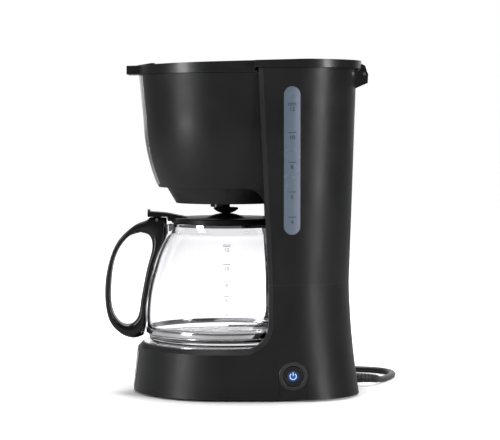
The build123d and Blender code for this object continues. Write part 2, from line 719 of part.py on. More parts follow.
def button_bezel():
    """Round bezel: a flange on the facet and a barrel through the wall."""
    bezel = cross_rod(BEZEL_RADIUS, FACET_X, FACET_X + 1.0, BUTTON_Y, BUTTON_Z)
    bezel += cross_rod(BEZEL_BARREL, 77.0, FACET_X, BUTTON_Y, BUTTON_Z)
    bezel -= cross_rod(BUTTON_RADIUS + GAP, 78.5, 95, BUTTON_Y, BUTTON_Z)
    return bezel - cross_rod(5.0, 76, 80, BUTTON_Y, BUTTON_Z)


def power_button():
    """Push cap with its stem."""
    cap = cross_rod(BUTTON_RADIUS, 82.4, BUTTON_FACE_X, BUTTON_Y, BUTTON_Z)
    cap += cross_rod(2.2, 76.6, 82.4, BUTTON_Y, BUTTON_Z)
    return cap - cross_rod(5.7, BUTTON_FACE_X - 1.2, 95, BUTTON_Y, BUTTON_Z)


def button_lens():
    """Lit lens in the middle of the cap."""
    return cross_rod(5.6, BUTTON_FACE_X - 1.2, BUTTON_FACE_X - 0.2, BUTTON_Y, BUTTON_Z)


def button_spring():
    """Return spring behind the cap."""
    return Pos(78.7, BUTTON_Y, BUTTON_Z) * Rot(0, 90, 0) * coil_spring(3.6, 0.35, 3.6, 2)


def switch_body():
    """Rocker switch housing behind the bezel, with two tabs."""
    body = block(60, 77, BUTTON_Y - 9, BUTTON_Y + 9, BUTTON_Z - 8, BUTTON_Z + 8)
    body -= cross_rod(3.0, 71, 78, BUTTON_Y, BUTTON_Z)
    for side in (-1, 1):
        y = BUTTON_Y + side * 5
        body += block(53, 60, y - 0.4, y + 0.4, BUTTON_Z - 3, BUTTON_Z + 3)
    return body


# --- carafe -------------------------------------------------------------------------------------
def glass_outline(inset, foot, rim):
    """Edges of the glass's outer or inner face, closed along the axis, as (radius, height)."""
    belly = (GLASS_BELLY_RADIUS - inset, GLASS_BELLY_Z)
    middle = (GLASS_MID_RADIUS - inset, GLASS_MID_Z)
    shoulder = (GLASS_SHOULDER_RADIUS - inset, GLASS_SHOULDER_Z - 0.4 * inset)
    neck = (GLASS_NECK_RADIUS - inset, GLASS_NECK_Z)
    corner = (GLASS_FOOT_RADIUS - inset, foot + 3.0)
    return [
        Line((0, foot), (GLASS_FOOT_RADIUS - 3.0 - inset, foot)),
        Line((GLASS_FOOT_RADIUS - 3.0 - inset, foot), corner),
        Line(corner, belly),
        ThreePointArc(belly, middle, shoulder),
        Line(shoulder, neck),
        Line(neck, (GLASS_NECK_RADIUS - inset, rim)),
        Line((GLASS_NECK_RADIUS - inset, rim), (0, rim)),
        Line((0, rim), (0, foot)),
    ]


def carafe_glass():
    """Blown glass jug."""
    outside = spun(*glass_outline(0, CARAFE_FOOT_Z, GLASS_RIM_Z))
    inside = spun(*glass_outline(GLASS_WALL, CARAFE_FOOT_Z + GLASS_WALL, GLASS_RIM_Z + 1))
    return outside - inside


HANDLE_GLASS_GAP = 0.4
HANDLE_BLOCK_Y = -65.0         # rear face of the block under the lid's lever


def handle_face():
    """Side view of the handle, drawn as (y, z): a closed D standing off the glass."""
    outside = Spline(
        (-82.5, 164.0), (-97.4, 157.3), (-112.6, 141.9), (-121.3, 118.9), (-124.2, 92.0), (-120.5, 68.0),
        (-110.0, 55.0), (-97.5, 50.2), (-87.4, 52.8), tangents=[(-0.95, -0.15), (0.9, 0.44)],
    )
    face = make_face(Curve([
        outside,
        Line((-87.4, 52.8), (-84.0, 66.0)),
        ThreePointArc((-84.0, 66.0), (-78.0, 111.0), (HANDLE_BLOCK_Y, 146.0)),
        Line((HANDLE_BLOCK_Y, 146.0), (HANDLE_BLOCK_Y, 166.0)),
        Line((HANDLE_BLOCK_Y, 166.0), (-82.5, 166.0)),
        Line((-82.5, 166.0), (-82.5, 164.0)),
    ]))
    opening = make_face(Spline(
        (-90.0, 151.5), (-102.1, 146.7), (-112.6, 132.0), (-117.6, 112.0), (-118.2, 82.0), (-110.5, 66.5),
        (-100.0, 64.0), (-92.5, 72.0), (-89.0, 92.0), (-84.0, 117.0), (-79.0, 137.0), (-81.5, 148.0),
        periodic=True,
    ))
    return face - opening


def carafe_handle():
    """Moulded handle with a slot for the lid's hinge lug."""
    handle = side_cut(handle_face(), HANDLE_WIDTH / 2)
    keep_off = spun(*glass_outline(-HANDLE_GLASS_GAP, CARAFE_FOOT_Z - 5, GLASS_RIM_Z + 20))
    handle -= keep_off
    handle -= block(-5.9, 5.9, -81.0, -60.0, 158.5, 170.0)
    y, z = LID_PIVOT
    handle -= cross_rod(1.6, -20, 20, y, z)
    for height in (BAND_TAB_Z, FOOT_BAND_Z):
        handle -= Pos(0, -85, height) * Rot(90, 0, 0) * Cylinder(1.6, 60)
    return handle


BAND_THICKNESS = 0.8
NECK_BAND_LOW = 157.4
NECK_BAND_HIGH = 159.8
CLAMP_LOW = 152.5              # foot of the neck band's clamp
BAND_TAB_Z = 152.0
FOOT_BAND_Z = 59.0
FOOT_BAND_HALF = 2.6


def carafe_neck_band():
    """Steel band round the neck, with a clamp and a tab down to the handle."""
    radius = GLASS_NECK_RADIUS + 0.05
    band = tube(radius + BAND_THICKNESS, radius, NECK_BAND_LOW, NECK_BAND_HIGH, 0, AXIS_Y)
    front = AXIS_Y - radius
    tab_y = HANDLE_BLOCK_Y + 0.05
    tab = side_polygon(
        (front - 0.1, NECK_BAND_LOW + 0.8), (tab_y + 0.9, NECK_BAND_LOW + 0.8), (tab_y + 0.9, 149.5),
        (tab_y, 149.5), (tab_y, NECK_BAND_LOW + 1.8), (front - 0.1, NECK_BAND_LOW + 1.8),
    )
    clamp = block(-4, 4, front - 4.0, front, CLAMP_LOW, NECK_BAND_HIGH)
    clamp -= spun(*glass_outline(-0.05, CARAFE_FOOT_Z, GLASS_RIM_Z + 5))
    return band + (tab & block(-5, 5, -70, -50, 140, 165)) + clamp


def carafe_foot_band():
    """Steel band round the foot of the glass, clamped at the handle."""
    radius = GLASS_BELLY_RADIUS + 0.1
    low = FOOT_BAND_Z - FOOT_BAND_HALF
    high = FOOT_BAND_Z + FOOT_BAND_HALF
    return tube(radius + BAND_THICKNESS, radius, low, high, 0, AXIS_Y)


def handle_screws():
    """Screws through the handle into the bands."""
    upper = Pos(0, HANDLE_BLOCK_Y - 4.8, BAND_TAB_Z) * Rot(90, 0, 0) * Cylinder(1.5, 9.4)
    lower = Pos(0, -94.0, FOOT_BAND_Z) * Rot(90, 0, 0) * Cylinder(1.5, 16)
    return Compound(children=[upper, lower])


def carafe_lid():
    """Lid with a skirt, a domed top, a coffee cup on a stalk and a thumb lever."""
    top = CARAFE_LID_Z + 4.8
    skirt_radius = GLASS_NECK_RADIUS - GLASS_WALL - 0.6
    body = spun(
        Line((0, CARAFE_LID_Z), (skirt_radius - 2, CARAFE_LID_Z)),
        Line((skirt_radius - 2, CARAFE_LID_Z), (skirt_radius - 2, NECK_BAND_LOW)),
        Line((skirt_radius - 2, NECK_BAND_LOW), (skirt_radius, NECK_BAND_LOW)),
        Line((skirt_radius, NECK_BAND_LOW), (skirt_radius, CARAFE_LID_Z)),
        Line((skirt_radius, CARAFE_LID_Z), (CARAFE_LID_RADIUS, CARAFE_LID_Z)),
        Line((CARAFE_LID_RADIUS, CARAFE_LID_Z), (CARAFE_LID_RADIUS, top - 1)),
        Line((CARAFE_LID_RADIUS, top - 1), (CARAFE_LID_RADIUS - 1.5, top)),
        Line((CARAFE_LID_RADIUS - 1.5, top), (18.5, top)),
        ThreePointArc((18.5, top), (10.0, top + 3.1), (3.6, top + 4.2)),
        ThreePointArc((3.6, top + 4.2), (9.6, top + 6.4), (FUNNEL_RADIUS, FUNNEL_TOP_Z - 1.2)),
        Line((FUNNEL_RADIUS, FUNNEL_TOP_Z - 1.2), (FUNNEL_RADIUS - 0.8, FUNNEL_TOP_Z)),
        Line((FUNNEL_RADIUS - 0.8, FUNNEL_TOP_Z), (8.5, FUNNEL_TOP_Z)),
        Line((8.5, FUNNEL_TOP_Z), (1.8, FUNNEL_TOP_Z - 2.6)),
        Line((1.8, FUNNEL_TOP_Z - 2.6), (1.8, CARAFE_LID_Z + 1.5)),
        Line((1.8, CARAFE_LID_Z + 1.5), (0, CARAFE_LID_Z + 1.5)),
        Line((0, CARAFE_LID_Z + 1.5), (0, CARAFE_LID_Z)),
    )
    body -= rod(1.8, CARAFE_LID_Z - 1, CARAFE_LID_Z + 3, 0, AXIS_Y)
    lever = side_polygon(
        (-83.1, 166.4), (-83.1, 173.4), (-81.6, 173.0), (-80.8, 171.4), (-71.6, 170.8), (-64.0, 170.0),
        (-56.3, 168.4), (-45.5, top + 0.6), (-50.0, top - 1.0), (-59.0, CARAFE_LID_Z + 1.5),
        (HANDLE_BLOCK_Y + 1.2, 162.5), (HANDLE_BLOCK_Y + 0.4, 166.4),
    ) & block(-HANDLE_WIDTH / 2, HANDLE_WIDTH / 2, -90, -40, 150, 180)
    y, z = LID_PIVOT
    lug = block(-5.5, 5.5, y - 3.5, y + 3.5, z - 3.5, 168.0)
    lid = body + lever + lug
    return lid - cross_rod(1.6, -20, 20, y, z)


def carafe_lid_pin():
    """Pin of the carafe lid's hinge, in the handle."""
    y, z = LID_PIVOT
    return cross_rod(1.5, -9.5, 9.5, y, z)


# --- wiring and cord ----------------------------------------------------------------------------
def along(start, direction):
    """Plane at a point, facing a direction."""
    return Plane(origin=start, z_dir=direction)


def boot_point(share):
    """Point on the boot's bent axis, from 0 at the wall to 1 at its thin end."""
    x, y, z = CORD_EXIT
    angle = radians(BOOT_TURN * share)
    return Vector(x - BOOT_BEND * (1 - cos(angle)), y + BOOT_BEND * sin(angle), z - BOOT_DROP * share**2)


def boot_direction(share):
    """Direction of the boot's axis at that point."""
    angle = radians(BOOT_TURN * share)
    arc = BOOT_BEND * radians(BOOT_TURN)
    return Vector(-sin(angle), cos(angle), -2 * BOOT_DROP * share / arc).normalized()


def boot_hole():
    """Hole for the boot through the rear wall and the edge of the bottom cover."""
    x, y, z = CORD_EXIT
    return extrude(along((x, y - 12, z), (0, 1, 0)) * Circle(BOOT_RADIUS + 0.2), amount=14)


def strain_relief():
    """Tapered boot that bends towards the table, with its root inside the rear wall."""
    x, y, z = CORD_EXIT
    root = extrude(along((x, y - 9, z), (0, 1, 0)) * Circle(BOOT_RADIUS), amount=9)
    shares = (0, 0.25, 0.5, 0.75, 1)
    thin = CORD_RADIUS + 0.6
    taper = loft([
        along(boot_point(share), boot_direction(share)) * Circle(BOOT_RADIUS + (thin - BOOT_RADIUS) * share)
        for share in shares
    ])
    return root + taper


def cord_route():
    """Free lead from the boot down to the table, round behind the machine and into the coil."""
    start = boot_point(1)
    straight_on = start + boot_direction(1) * 11.5
    floor = CORD_RADIUS + 0.05
    enter_x = COIL_CENTRE[0] + COIL_RADIUS + CORD_RADIUS
    return [
        (start.X, start.Y, start.Z),
        (straight_on.X, straight_on.Y, straight_on.Z),
        (-71.0, 153.5, floor),
        (-96.0, 160.0, floor),
        (-119.0, 152.0, floor),
        (-132.0, 131.0, floor),
        (-134.5, 106.0, floor),
        (enter_x - 0.4, 80.0, floor),
        (enter_x, COIL_CENTRE[1], floor),
    ]


PLUG_END = (-207.5, COIL_CENTRE[1] + 37.0, 7.3)


def plug_route():
    """From the top of the coil down outside it to the plug."""
    leave_x = COIL_CENTRE[0] - COIL_RADIUS
    high = 3 * CORD_RADIUS + 0.05
    return [
        (leave_x, COIL_CENTRE[1], high),
        (leave_x - 0.3, COIL_CENTRE[1] + 12.0, high + 0.3),
        (leave_x - 0.9, COIL_CENTRE[1] + 25.0, high - 0.5),
        PLUG_END,
    ]


def corner_radii(points):
    """As large an arc at every corner as its two runs allow."""
    radii = []
    for before, here, after in zip(points, points[1:], points[2:]):
        arrive = Vector(*here) - Vector(*before)
        leave = Vector(*after) - Vector(*here)
        turn = radians(arrive.get_angle(leave))
        radii.append(0.45 * min(arrive.length, leave.length) / tan(turn / 2))
    return radii


def cord_tube(points, label):
    """Tube of straight runs and tangent arcs."""
    radii = corner_radii(points)
    path = FilletPolyline(*points, radius=radii)
    start = along(path @ 0, path % 0)
    lead = sweep(start * Circle(CORD_RADIUS), path)
    expected = pi * CORD_RADIUS**2 * path.length
    print(label, "radii", [round(r, 1) for r in radii], "length", round(path.length, 1),
          "volume ratio", round(lead.volume / expected, 4))
    return lead


def cord_coil():
    """Two and a half turns of the lead as one ring."""
    x, y = COIL_CENTRE
    half_width = 2 * CORD_RADIUS + 0.1
    return tube(COIL_RADIUS + half_width, COIL_RADIUS - half_width, 0.05, 4 * CORD_RADIUS + 0.05, x, y)


TIE_WIDTH = 6.0


def cord_tie():
    """Flat tie round all the turns, on the side of the coil where the top half turn lies."""
    x, y = COIL_CENTRE
    direction = 250
    across = 4 * CORD_RADIUS + 0.2
    high = 4 * CORD_RADIUS + 0.05
    spot = Pos(x + COIL_RADIUS * cos(radians(direction)), y + COIL_RADIUS * sin(radians(direction)), 0)
    outer = Pos(0, 0, (high + 1.0) / 2) * Box(across + 2.4, TIE_WIDTH, high + 1.0)
    ring = spot * Rot(0, 0, direction) * outer
    return ring - cord_coil() - block(-250, -100, -50, 150, -1, 0.05)


def plug_body():
    """Flat two-pin plug body, lying on the table beside the coil."""
    x, y, z = PLUG_END
    standing = (Align.CENTER, Align.CENTER, Align.MIN)
    grip = Pos(x, y, z) * Rot(-90, 0, 0) * Cone(CORD_RADIUS + 0.8, 5.6, 14, align=standing)
    body = Pos(x, y + 14 + 10, z) * Box(26, 20, 14.2)
    body = fillet(body.edges().filter_by(Axis.Y), 5.0)
    return grip + body


def plug_pins():
    """Two round pins, half sleeved."""
    x, y, z = PLUG_END
    pin = Rot(-90, 0, 0) * Cylinder(2.0, 19, align=(Align.CENTER, Align.CENTER, Align.MIN))
    return group_of(pin, [(x - 9.3, y + 34, z), (x + 9.3, y + 34, z)])


def terminal_block():
    """Screw terminals that join the lead to the inside wiring."""
    return block(-52, -22, 82, 92, 6, 18)


def wire(points, radius=1.1):
    """One insulated core between two pieces inside."""
    path = FilletPolyline(*points, radius=5)
    return sweep(along(path @ 0, path % 0) * Circle(radius), path)


def inner_wires():
    """Cores from the boot to the terminals, the switch, the thermostat and the heater."""
    x, y, z = CORD_EXIT
    tab = (52.8, BUTTON_Y + 5, BUTTON_Z)
    other_tab = (52.8, BUTTON_Y - 5, BUTTON_Z)
    before_tab = (43, BUTTON_Y + 5, BUTTON_Z)
    after_tab = (43, BUTTON_Y - 5, BUTTON_Z)
    cores = [
        wire([(x + 1, y - 9.2, z), (x + 1, y - 16, z + 1), (-24, 98, 12.0), (-24, 92.1, 12.0)]),
        wire([(-21.9, 87, 14), (0, 87, 14), (34, 78, 16), before_tab, tab]),
        wire([other_tab, after_tab, (14, 38, 24), (6, 28, 33)]),
    ]
    return Compound(children=cores)


# --- write one file per piece -------------------------------------------------------------------
PIECES = {
    "lower_housing": lower_housing,
    "upper_housing": upper_housing,
    "hinge_brackets": hinge_brackets,
    "gauge_window": gauge_window,
    "base_plate": base_plate,
    "rubber_feet": rubber_feet,
    "base_screws": lambda: group_of(screw(1.6, 18.0), [(x, y, 0) for x, y in BASE_SCREWS]),
    "seam_screws": lambda: group_of(screw(90.6, 114.0), [(x, y, 0) for x, y in SEAM_SCREWS]),
    "basket_front_trim": basket_front_trim,
    "base_front_trim": base_front_trim,
    "warming_plate": warming_plate,
    "plate_trim_ring": plate_trim_ring,
    "heater_element": heater_element,
    "heater_bracket": heater_bracket,
    "heater_stud": heater_stud,
    "thermostat": thermostat,
    "thermal_fuses": thermal_fuses,
    "cold_water_hose": cold_water_hose,
    "hot_water_hose": hot_water_hose,
    "hose_clamps": hose_clamps,
    "check_valve_cage": check_valve_cage,
    "check_valve_ball": check_valve_ball,
    "water_tank": water_tank,
    "tank_outlet_seal": tank_outlet_seal,
    "riser_tube": riser_tube,
    "spray_head": spray_head,
    "filter_basket": filter_basket,
    "filter_frame": filter_frame,
    "filter_mesh": filter_mesh,
    "drip_stop_valve": drip_stop_valve,
    "drip_stop_seal": drip_stop_seal,
    "drip_stop_spring": drip_stop_spring,
    "drip_stop_retainer": drip_stop_retainer,
    "top_lid": top_lid,
    "lid_liner": lid_liner,
    "lid_hinge_pin": lid_hinge_pin,
    "button_bezel": button_bezel,
    "power_button": power_button,
    "button_lens": button_lens,
    "button_spring": button_spring,
    "switch_body": switch_body,
    "carafe_glass": carafe_glass,
    "carafe_handle": carafe_handle,
    "carafe_neck_band": carafe_neck_band,
    "carafe_foot_band": carafe_foot_band,
    "handle_screws": handle_screws,
    "carafe_lid": carafe_lid,
    "carafe_lid_pin": carafe_lid_pin,
    "terminal_block": terminal_block,
    "inner_wires": inner_wires,
    "strain_relief": strain_relief,
    "power_cord": lambda: cord_tube(cord_route(), "power_cord"),
    "cord_coil": cord_coil,
    "plug_lead": lambda: cord_tube(plug_route(), "plug_lead"),
    "cord_tie": cord_tie,
    "plug_body": plug_body,
    "plug_pins": plug_pins,
}

os.makedirs("parts", exist_ok=True)
for name, make in PIECES.items():
    export_step(make(), f"parts/{name}.step")
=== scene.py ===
"""Looks of a drip coffee maker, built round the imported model. Metres, +Z up, front at -Y."""

import logging
import math
from dataclasses import dataclass
from enum import Enum

import bmesh
import bpy
import numpy as np
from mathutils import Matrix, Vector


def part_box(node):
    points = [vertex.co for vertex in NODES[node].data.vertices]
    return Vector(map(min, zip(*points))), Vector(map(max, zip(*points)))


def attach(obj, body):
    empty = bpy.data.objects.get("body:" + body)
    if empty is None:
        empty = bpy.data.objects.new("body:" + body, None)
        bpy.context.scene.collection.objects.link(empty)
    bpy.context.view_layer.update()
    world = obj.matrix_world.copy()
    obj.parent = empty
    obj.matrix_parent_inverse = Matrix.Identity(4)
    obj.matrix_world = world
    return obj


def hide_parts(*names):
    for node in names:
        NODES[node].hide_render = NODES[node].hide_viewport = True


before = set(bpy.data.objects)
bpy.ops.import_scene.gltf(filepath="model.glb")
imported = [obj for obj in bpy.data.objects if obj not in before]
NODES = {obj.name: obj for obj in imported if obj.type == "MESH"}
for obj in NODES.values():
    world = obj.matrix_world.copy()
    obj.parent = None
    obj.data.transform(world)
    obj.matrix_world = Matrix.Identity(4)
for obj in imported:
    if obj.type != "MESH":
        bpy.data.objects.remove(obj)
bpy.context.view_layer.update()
LOG = logging.getLogger("coffee_maker")

MM = 0.001
AXIS_Y = -8.5 * MM             # the jug, the filter and the warming plate share this axis
SAME_POINT = 0.001 * MM        # points nearer to each other than this are one
TURN_STEPS = 160               # steps round a turned piece
ROUNDED_FROM = 28.0            # degrees; sharper edges of a carried-over shape are rounded
FLAT_WITHIN = 0.6              # degrees; faces flatter than this to each other become one
DUST = (0.30, 0.29, 0.27, 1.0)
PALE_DUST = (0.32, 0.31, 0.29, 1.0)
BLACK = (0.0, 0.0, 0.0, 1.0)
WHITE = (1.0, 1.0, 1.0, 1.0)

Socket = bpy.types.NodeSocket


class Slot(Enum):
    """Material slots of the record."""

    HOUSING = "black_housing"
    GLOSS = "black_gloss"
    TRIM = "steel_trim"
    BRIGHT = "bright_steel"
    PLATE = "plate_coating"
    GLASS = "glass"
    GAUGE = "gauge_smoke"
    TANK = "tank_plastic"
    CAST = "cast_aluminium"
    RUBBER = "rubber"
    SILICONE = "silicone"
    SHEATH = "cord_sheath"
    WIRE = "wire_insulation"
    MESH = "mesh_nylon"
    LENS = "lens"
    PIN = "pin_brass"


class Body(Enum):
    """Bodies of the record that new pieces ride on."""

    MACHINE = "machine"
    LID = "lid"
    BUTTON = "button"
    CARAFE = "carafe"


# --- meshes -------------------------------------------------------------------------------------
def mesh_object(name: str, points: np.ndarray, faces: list) -> bpy.types.Object:
    """Make an object at the origin from points and faces.

    Args:
        name: Name of the piece.
        points: Array of shape (count, 3), in metres.
        faces: Lists of point numbers.

    Returns:
        The new object.
    """
    mesh = bpy.data.meshes.new(name)
    mesh.from_pydata(np.asarray(points, float).reshape(-1, 3).tolist(), [], faces)
    mesh.validate()
    mesh.update()
    piece = bpy.data.objects.new(name, mesh)
    bpy.context.scene.collection.objects.link(piece)
    return piece


def face_grid(rows: int, columns: int, wrap_rows: bool, wrap_columns: bool) -> list:
    """Quads between neighbouring rows and columns of a grid of points, joined round where it wraps.

    Args:
        rows: Number of rows.
        columns: Number of columns.
        wrap_rows: Whether the last row joins the first.
        wrap_columns: Whether the last column joins the first.

    Returns:
        Lists of four point numbers, counted row by row.
    """
    last_row = rows if wrap_rows else rows - 1
    last_column = columns if wrap_columns else columns - 1
    row = np.arange(last_row)[:, None]
    column = np.arange(last_column)[None, :]
    here = row * columns + column
    right = row * columns + (column + 1) % columns
    across = ((row + 1) % rows) * columns + (column + 1) % columns
    below = ((row + 1) % rows) * columns + column
    return np.stack([here, right, across, below], axis=-1).reshape(-1, 4).tolist()


def tidy(piece: bpy.types.Object) -> None:
    """Close seams and poles of a new mesh and point its faces outwards.

    Args:
        piece: The new piece.
    """
    work = bmesh.new()
    work.from_mesh(piece.data)
    bmesh.ops.remove_doubles(work, verts=work.verts, dist=SAME_POINT)
    bmesh.ops.dissolve_degenerate(work, dist=SAME_POINT, edges=work.edges)
    bmesh.ops.recalc_face_normals(work, faces=work.faces)
    work.to_mesh(piece.data)
    work.free()


def smooth(piece: bpy.types.Object, sharp: float = 35.0) -> bpy.types.Object:
    """Shade a piece smooth, but for its sharp edges.

    Args:
        piece: The piece.
        sharp: Edges above this many degrees stay sharp.

    Returns:
        The same piece.
    """
    mesh = piece.data
    mesh.shade_smooth()
    mesh.set_sharp_from_angle(angle=math.radians(sharp))
    return piece


def surface(name: str, points: np.ndarray, wrap_rows: bool = False) -> bpy.types.Object:
    """Skin a grid of points whose columns wrap, and close its first and last rows with a face each.

    Args:
        name: Name of the piece.
        points: Array of shape (rows, columns, 3).
        wrap_rows: Whether the last row joins the first, which leaves no ends to close.

    Returns:
        The finished object.
    """
    rows, columns = points.shape[:2]
    faces = face_grid(rows, columns, wrap_rows, True)
    if not wrap_rows:
        faces.append(list(range(columns))[::-1])
        faces.append(list(range((rows - 1) * columns, rows * columns)))
    piece = mesh_object(name, points, faces)
    tidy(piece)
    return smooth(piece)


def turned(name: str, profile: np.ndarray, closed: bool = True, sharp: float = 35.0) -> bpy.types.Object:
    """Turn a profile about the jug's axis: x = r sin a, y = axis - r cos a, z as in the profile.

    Args:
        name: Name of the piece.
        profile: Array of (radius, height).
        closed: Whether the profile is a loop; if not, it starts and ends on the axis.
        sharp: Edges above this many degrees stay sharp.

    Returns:
        The finished object.
    """
    angle = np.linspace(0, 2 * math.pi, TURN_STEPS, endpoint=False)[None, :]
    radius = profile[:, 0][:, None]
    height = np.broadcast_to(profile[:, 1][:, None], (len(profile), TURN_STEPS))
    points = np.stack([radius * np.sin(angle), AXIS_Y - radius * np.cos(angle), height], axis=-1)
    faces = face_grid(len(profile), TURN_STEPS, closed, True)
    piece = mesh_object(name, points, faces)
    tidy(piece)
    return smooth(piece, sharp)


def smooth_line(points: list, per_span: int) -> np.ndarray:
    """Curve through points: in every span a cubic whose end slopes are half the way between neighbours.

    Args:
        points: Points that the curve goes through.
        per_span: Steps from one of them to the next.

    Returns:
        Array of the curve's points, the first and the last of the given ones included.
    """
    known = np.array(points, float)
    padded = np.vstack([2 * known[0] - known[1], known, 2 * known[-1] - known[-2]])
    share = np.linspace(0, 1, per_span, endpoint=False)[:, None]
    spans = []
    for before, start, end, after in zip(padded, padded[1:], padded[2:], padded[3:]):
        slope_in = (end - before) / 2
        slope_out = (after - start) / 2
        spans.append(
            (2 * share**3 - 3 * share**2 + 1) * start + (share**3 - 2 * share**2 + share) * slope_in
            + (3 * share**2 - 2 * share**3) * end + (share**3 - share**2) * slope_out
        )
    return np.vstack([*spans, known[-1:]])


def arc(centre: tuple, radius: float, start: float, end: float, steps: int = 6) -> np.ndarray:
    """Points round a centre from one angle in degrees to another."""
    angle = np.radians(np.linspace(start, end, steps))
    return np.stack([centre[0] + radius * np.cos(angle), centre[1] + radius * np.sin(angle)], axis=-1)


def rounded_box(low: tuple, high: tuple, radius: float) -> np.ndarray:
    """Loop of a rectangle with round corners.

    Args:
        low: Least corner, as (across, up).
        high: Greatest corner.
        radius: Radius of the corners.

    Returns:
        Array of the loop's points.
    """
    corners = [
        ((high[0] - radius, high[1] - radius), 0),
        ((low[0] + radius, high[1] - radius), 90),
        ((low[0] + radius, low[1] + radius), 180),
        ((high[0] - radius, low[1] + radius), 270),
    ]
    return np.vstack([arc(centre, radius, start, start + 90) for centre, start in corners])


def swept(name: str, path: np.ndarray, radii: np.ndarray, sides: int) -> bpy.types.Object:
    """Carry a circle of changing radius along a path, upright all the way.

    Args:
        name: Name of the piece.
        path: Array of (x, y, z).
        radii: One radius per point of the path.
        sides: Steps round the circle.

    Returns:
        The finished object, with both ends closed.
    """
    along = np.gradient(path, axis=0)
    along /= np.linalg.norm(along, axis=1)[:, None]
    side = np.cross(along, [0.0, 0.0, 1.0])
    side /= np.linalg.norm(side, axis=1)[:, None]
    up = np.cross(side, along)
    angle = np.linspace(0, 2 * math.pi, sides, endpoint=False)[None, :, None]
    ring = side[:, None, :] * np.cos(angle) + up[:, None, :] * np.sin(angle)
    return surface(name, path[:, None, :] + radii[:, None, None] * ring)


def copy_of(node: str, name: str, edge: float, segments: int = 3) -> bpy.types.Object:
    """Copy a CAD node's mesh, merge it and round its sharp edges.

    Args:
        node: Name of the CAD node.
        name: Name of the new piece, which stands for the node.
        edge: Width of the rounded edges, in metres.
        segments: Steps across a rounded edge.

    Returns:
        The finished object, with a live Bevel modifier.
    """
    mesh = NODES[node].data.copy()
    mesh.name = name
    mesh.materials.clear()
    for spare in ("custom_normal", "sharp_edge", "sharp_face"):
        if spare in mesh.attributes:
            mesh.attributes.remove(mesh.attributes[spare])
    work = bmesh.new()
    work.from_mesh(mesh)
    bmesh.ops.remove_doubles(work, verts=work.verts, dist=2 * SAME_POINT)
    bmesh.ops.dissolve_degenerate(work, dist=SAME_POINT, edges=work.edges)
    flat = math.radians(FLAT_WITHIN)
    bmesh.ops.dissolve_limit(work, angle_limit=flat, verts=work.verts, edges=work.edges)
    work.to_mesh(mesh)
    work.free()
    mesh.shade_smooth()
    piece = bpy.data.objects.new(name, mesh)
    bpy.context.scene.collection.objects.link(piece)
    bevel = piece.modifiers.new("edge", "BEVEL")
    bevel.width = edge
    bevel.segments = segments
    bevel.limit_method = "ANGLE"
    bevel.angle_limit = math.radians(ROUNDED_FROM)
    bevel.use_clamp_overlap = True
    bevel.harden_normals = True
    return piece


def dress(piece: bpy.types.Object, finish: "Finish", body: Body, *nodes: str) -> bpy.types.Object:
    """Give a new piece its finish and its body.

    Args:
        piece: The new piece.
        finish: What it is made of.
        body: The body that it moves with.
        *nodes: CAD nodes that it stands for.

    Returns:
        The same piece.
    """
    piece.data.materials.clear()
    piece.data.materials.append(finish.material())
    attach(piece, body.value)
    if nodes:
        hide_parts(*nodes)
    LOG.info("%s rides on %s", piece.name, body.value)
    return piece


def finish_node(node: str, finish: "Finish") -> None:
    """Give a carried-over CAD node its finish, through its own material slot.

    Args:
        node: Name of the CAD node.
        finish: What it is made of.
    """
    piece = NODES[node]
    if not piece.data.materials:
        piece.data.materials.append(None)
    for holder in piece.material_slots:
        holder.material = finish.material()
    LOG.info("%s keeps its shape", node)


# --- shared effects -----------------------------------------------------------------------------
class Effect:
    """A node group under construction: inputs, outputs and small helpers to wire it."""

    def __init__(self, name: str, inputs: dict, outputs: dict) -> None:
        """Start a group.

        Args:
            name: Name of the group.
            inputs: Name to (socket kind, default) of each input.
            outputs: Name to socket kind of each output.
        """
        self.tree = bpy.data.node_groups.new(name, "ShaderNodeTree")
        for label, (kind, default) in inputs.items():
            socket = self.tree.interface.new_socket(label, in_out="INPUT", socket_type=kind)
            if default is not None:
                socket.default_value = default
        for label, kind in outputs.items():
            self.tree.interface.new_socket(label, in_out="OUTPUT", socket_type=kind)
        self.source = self.tree.nodes.new("NodeGroupInput").outputs
        self.result = self.tree.nodes.new("NodeGroupOutput").inputs
        self.wiring = Wiring(self.tree)


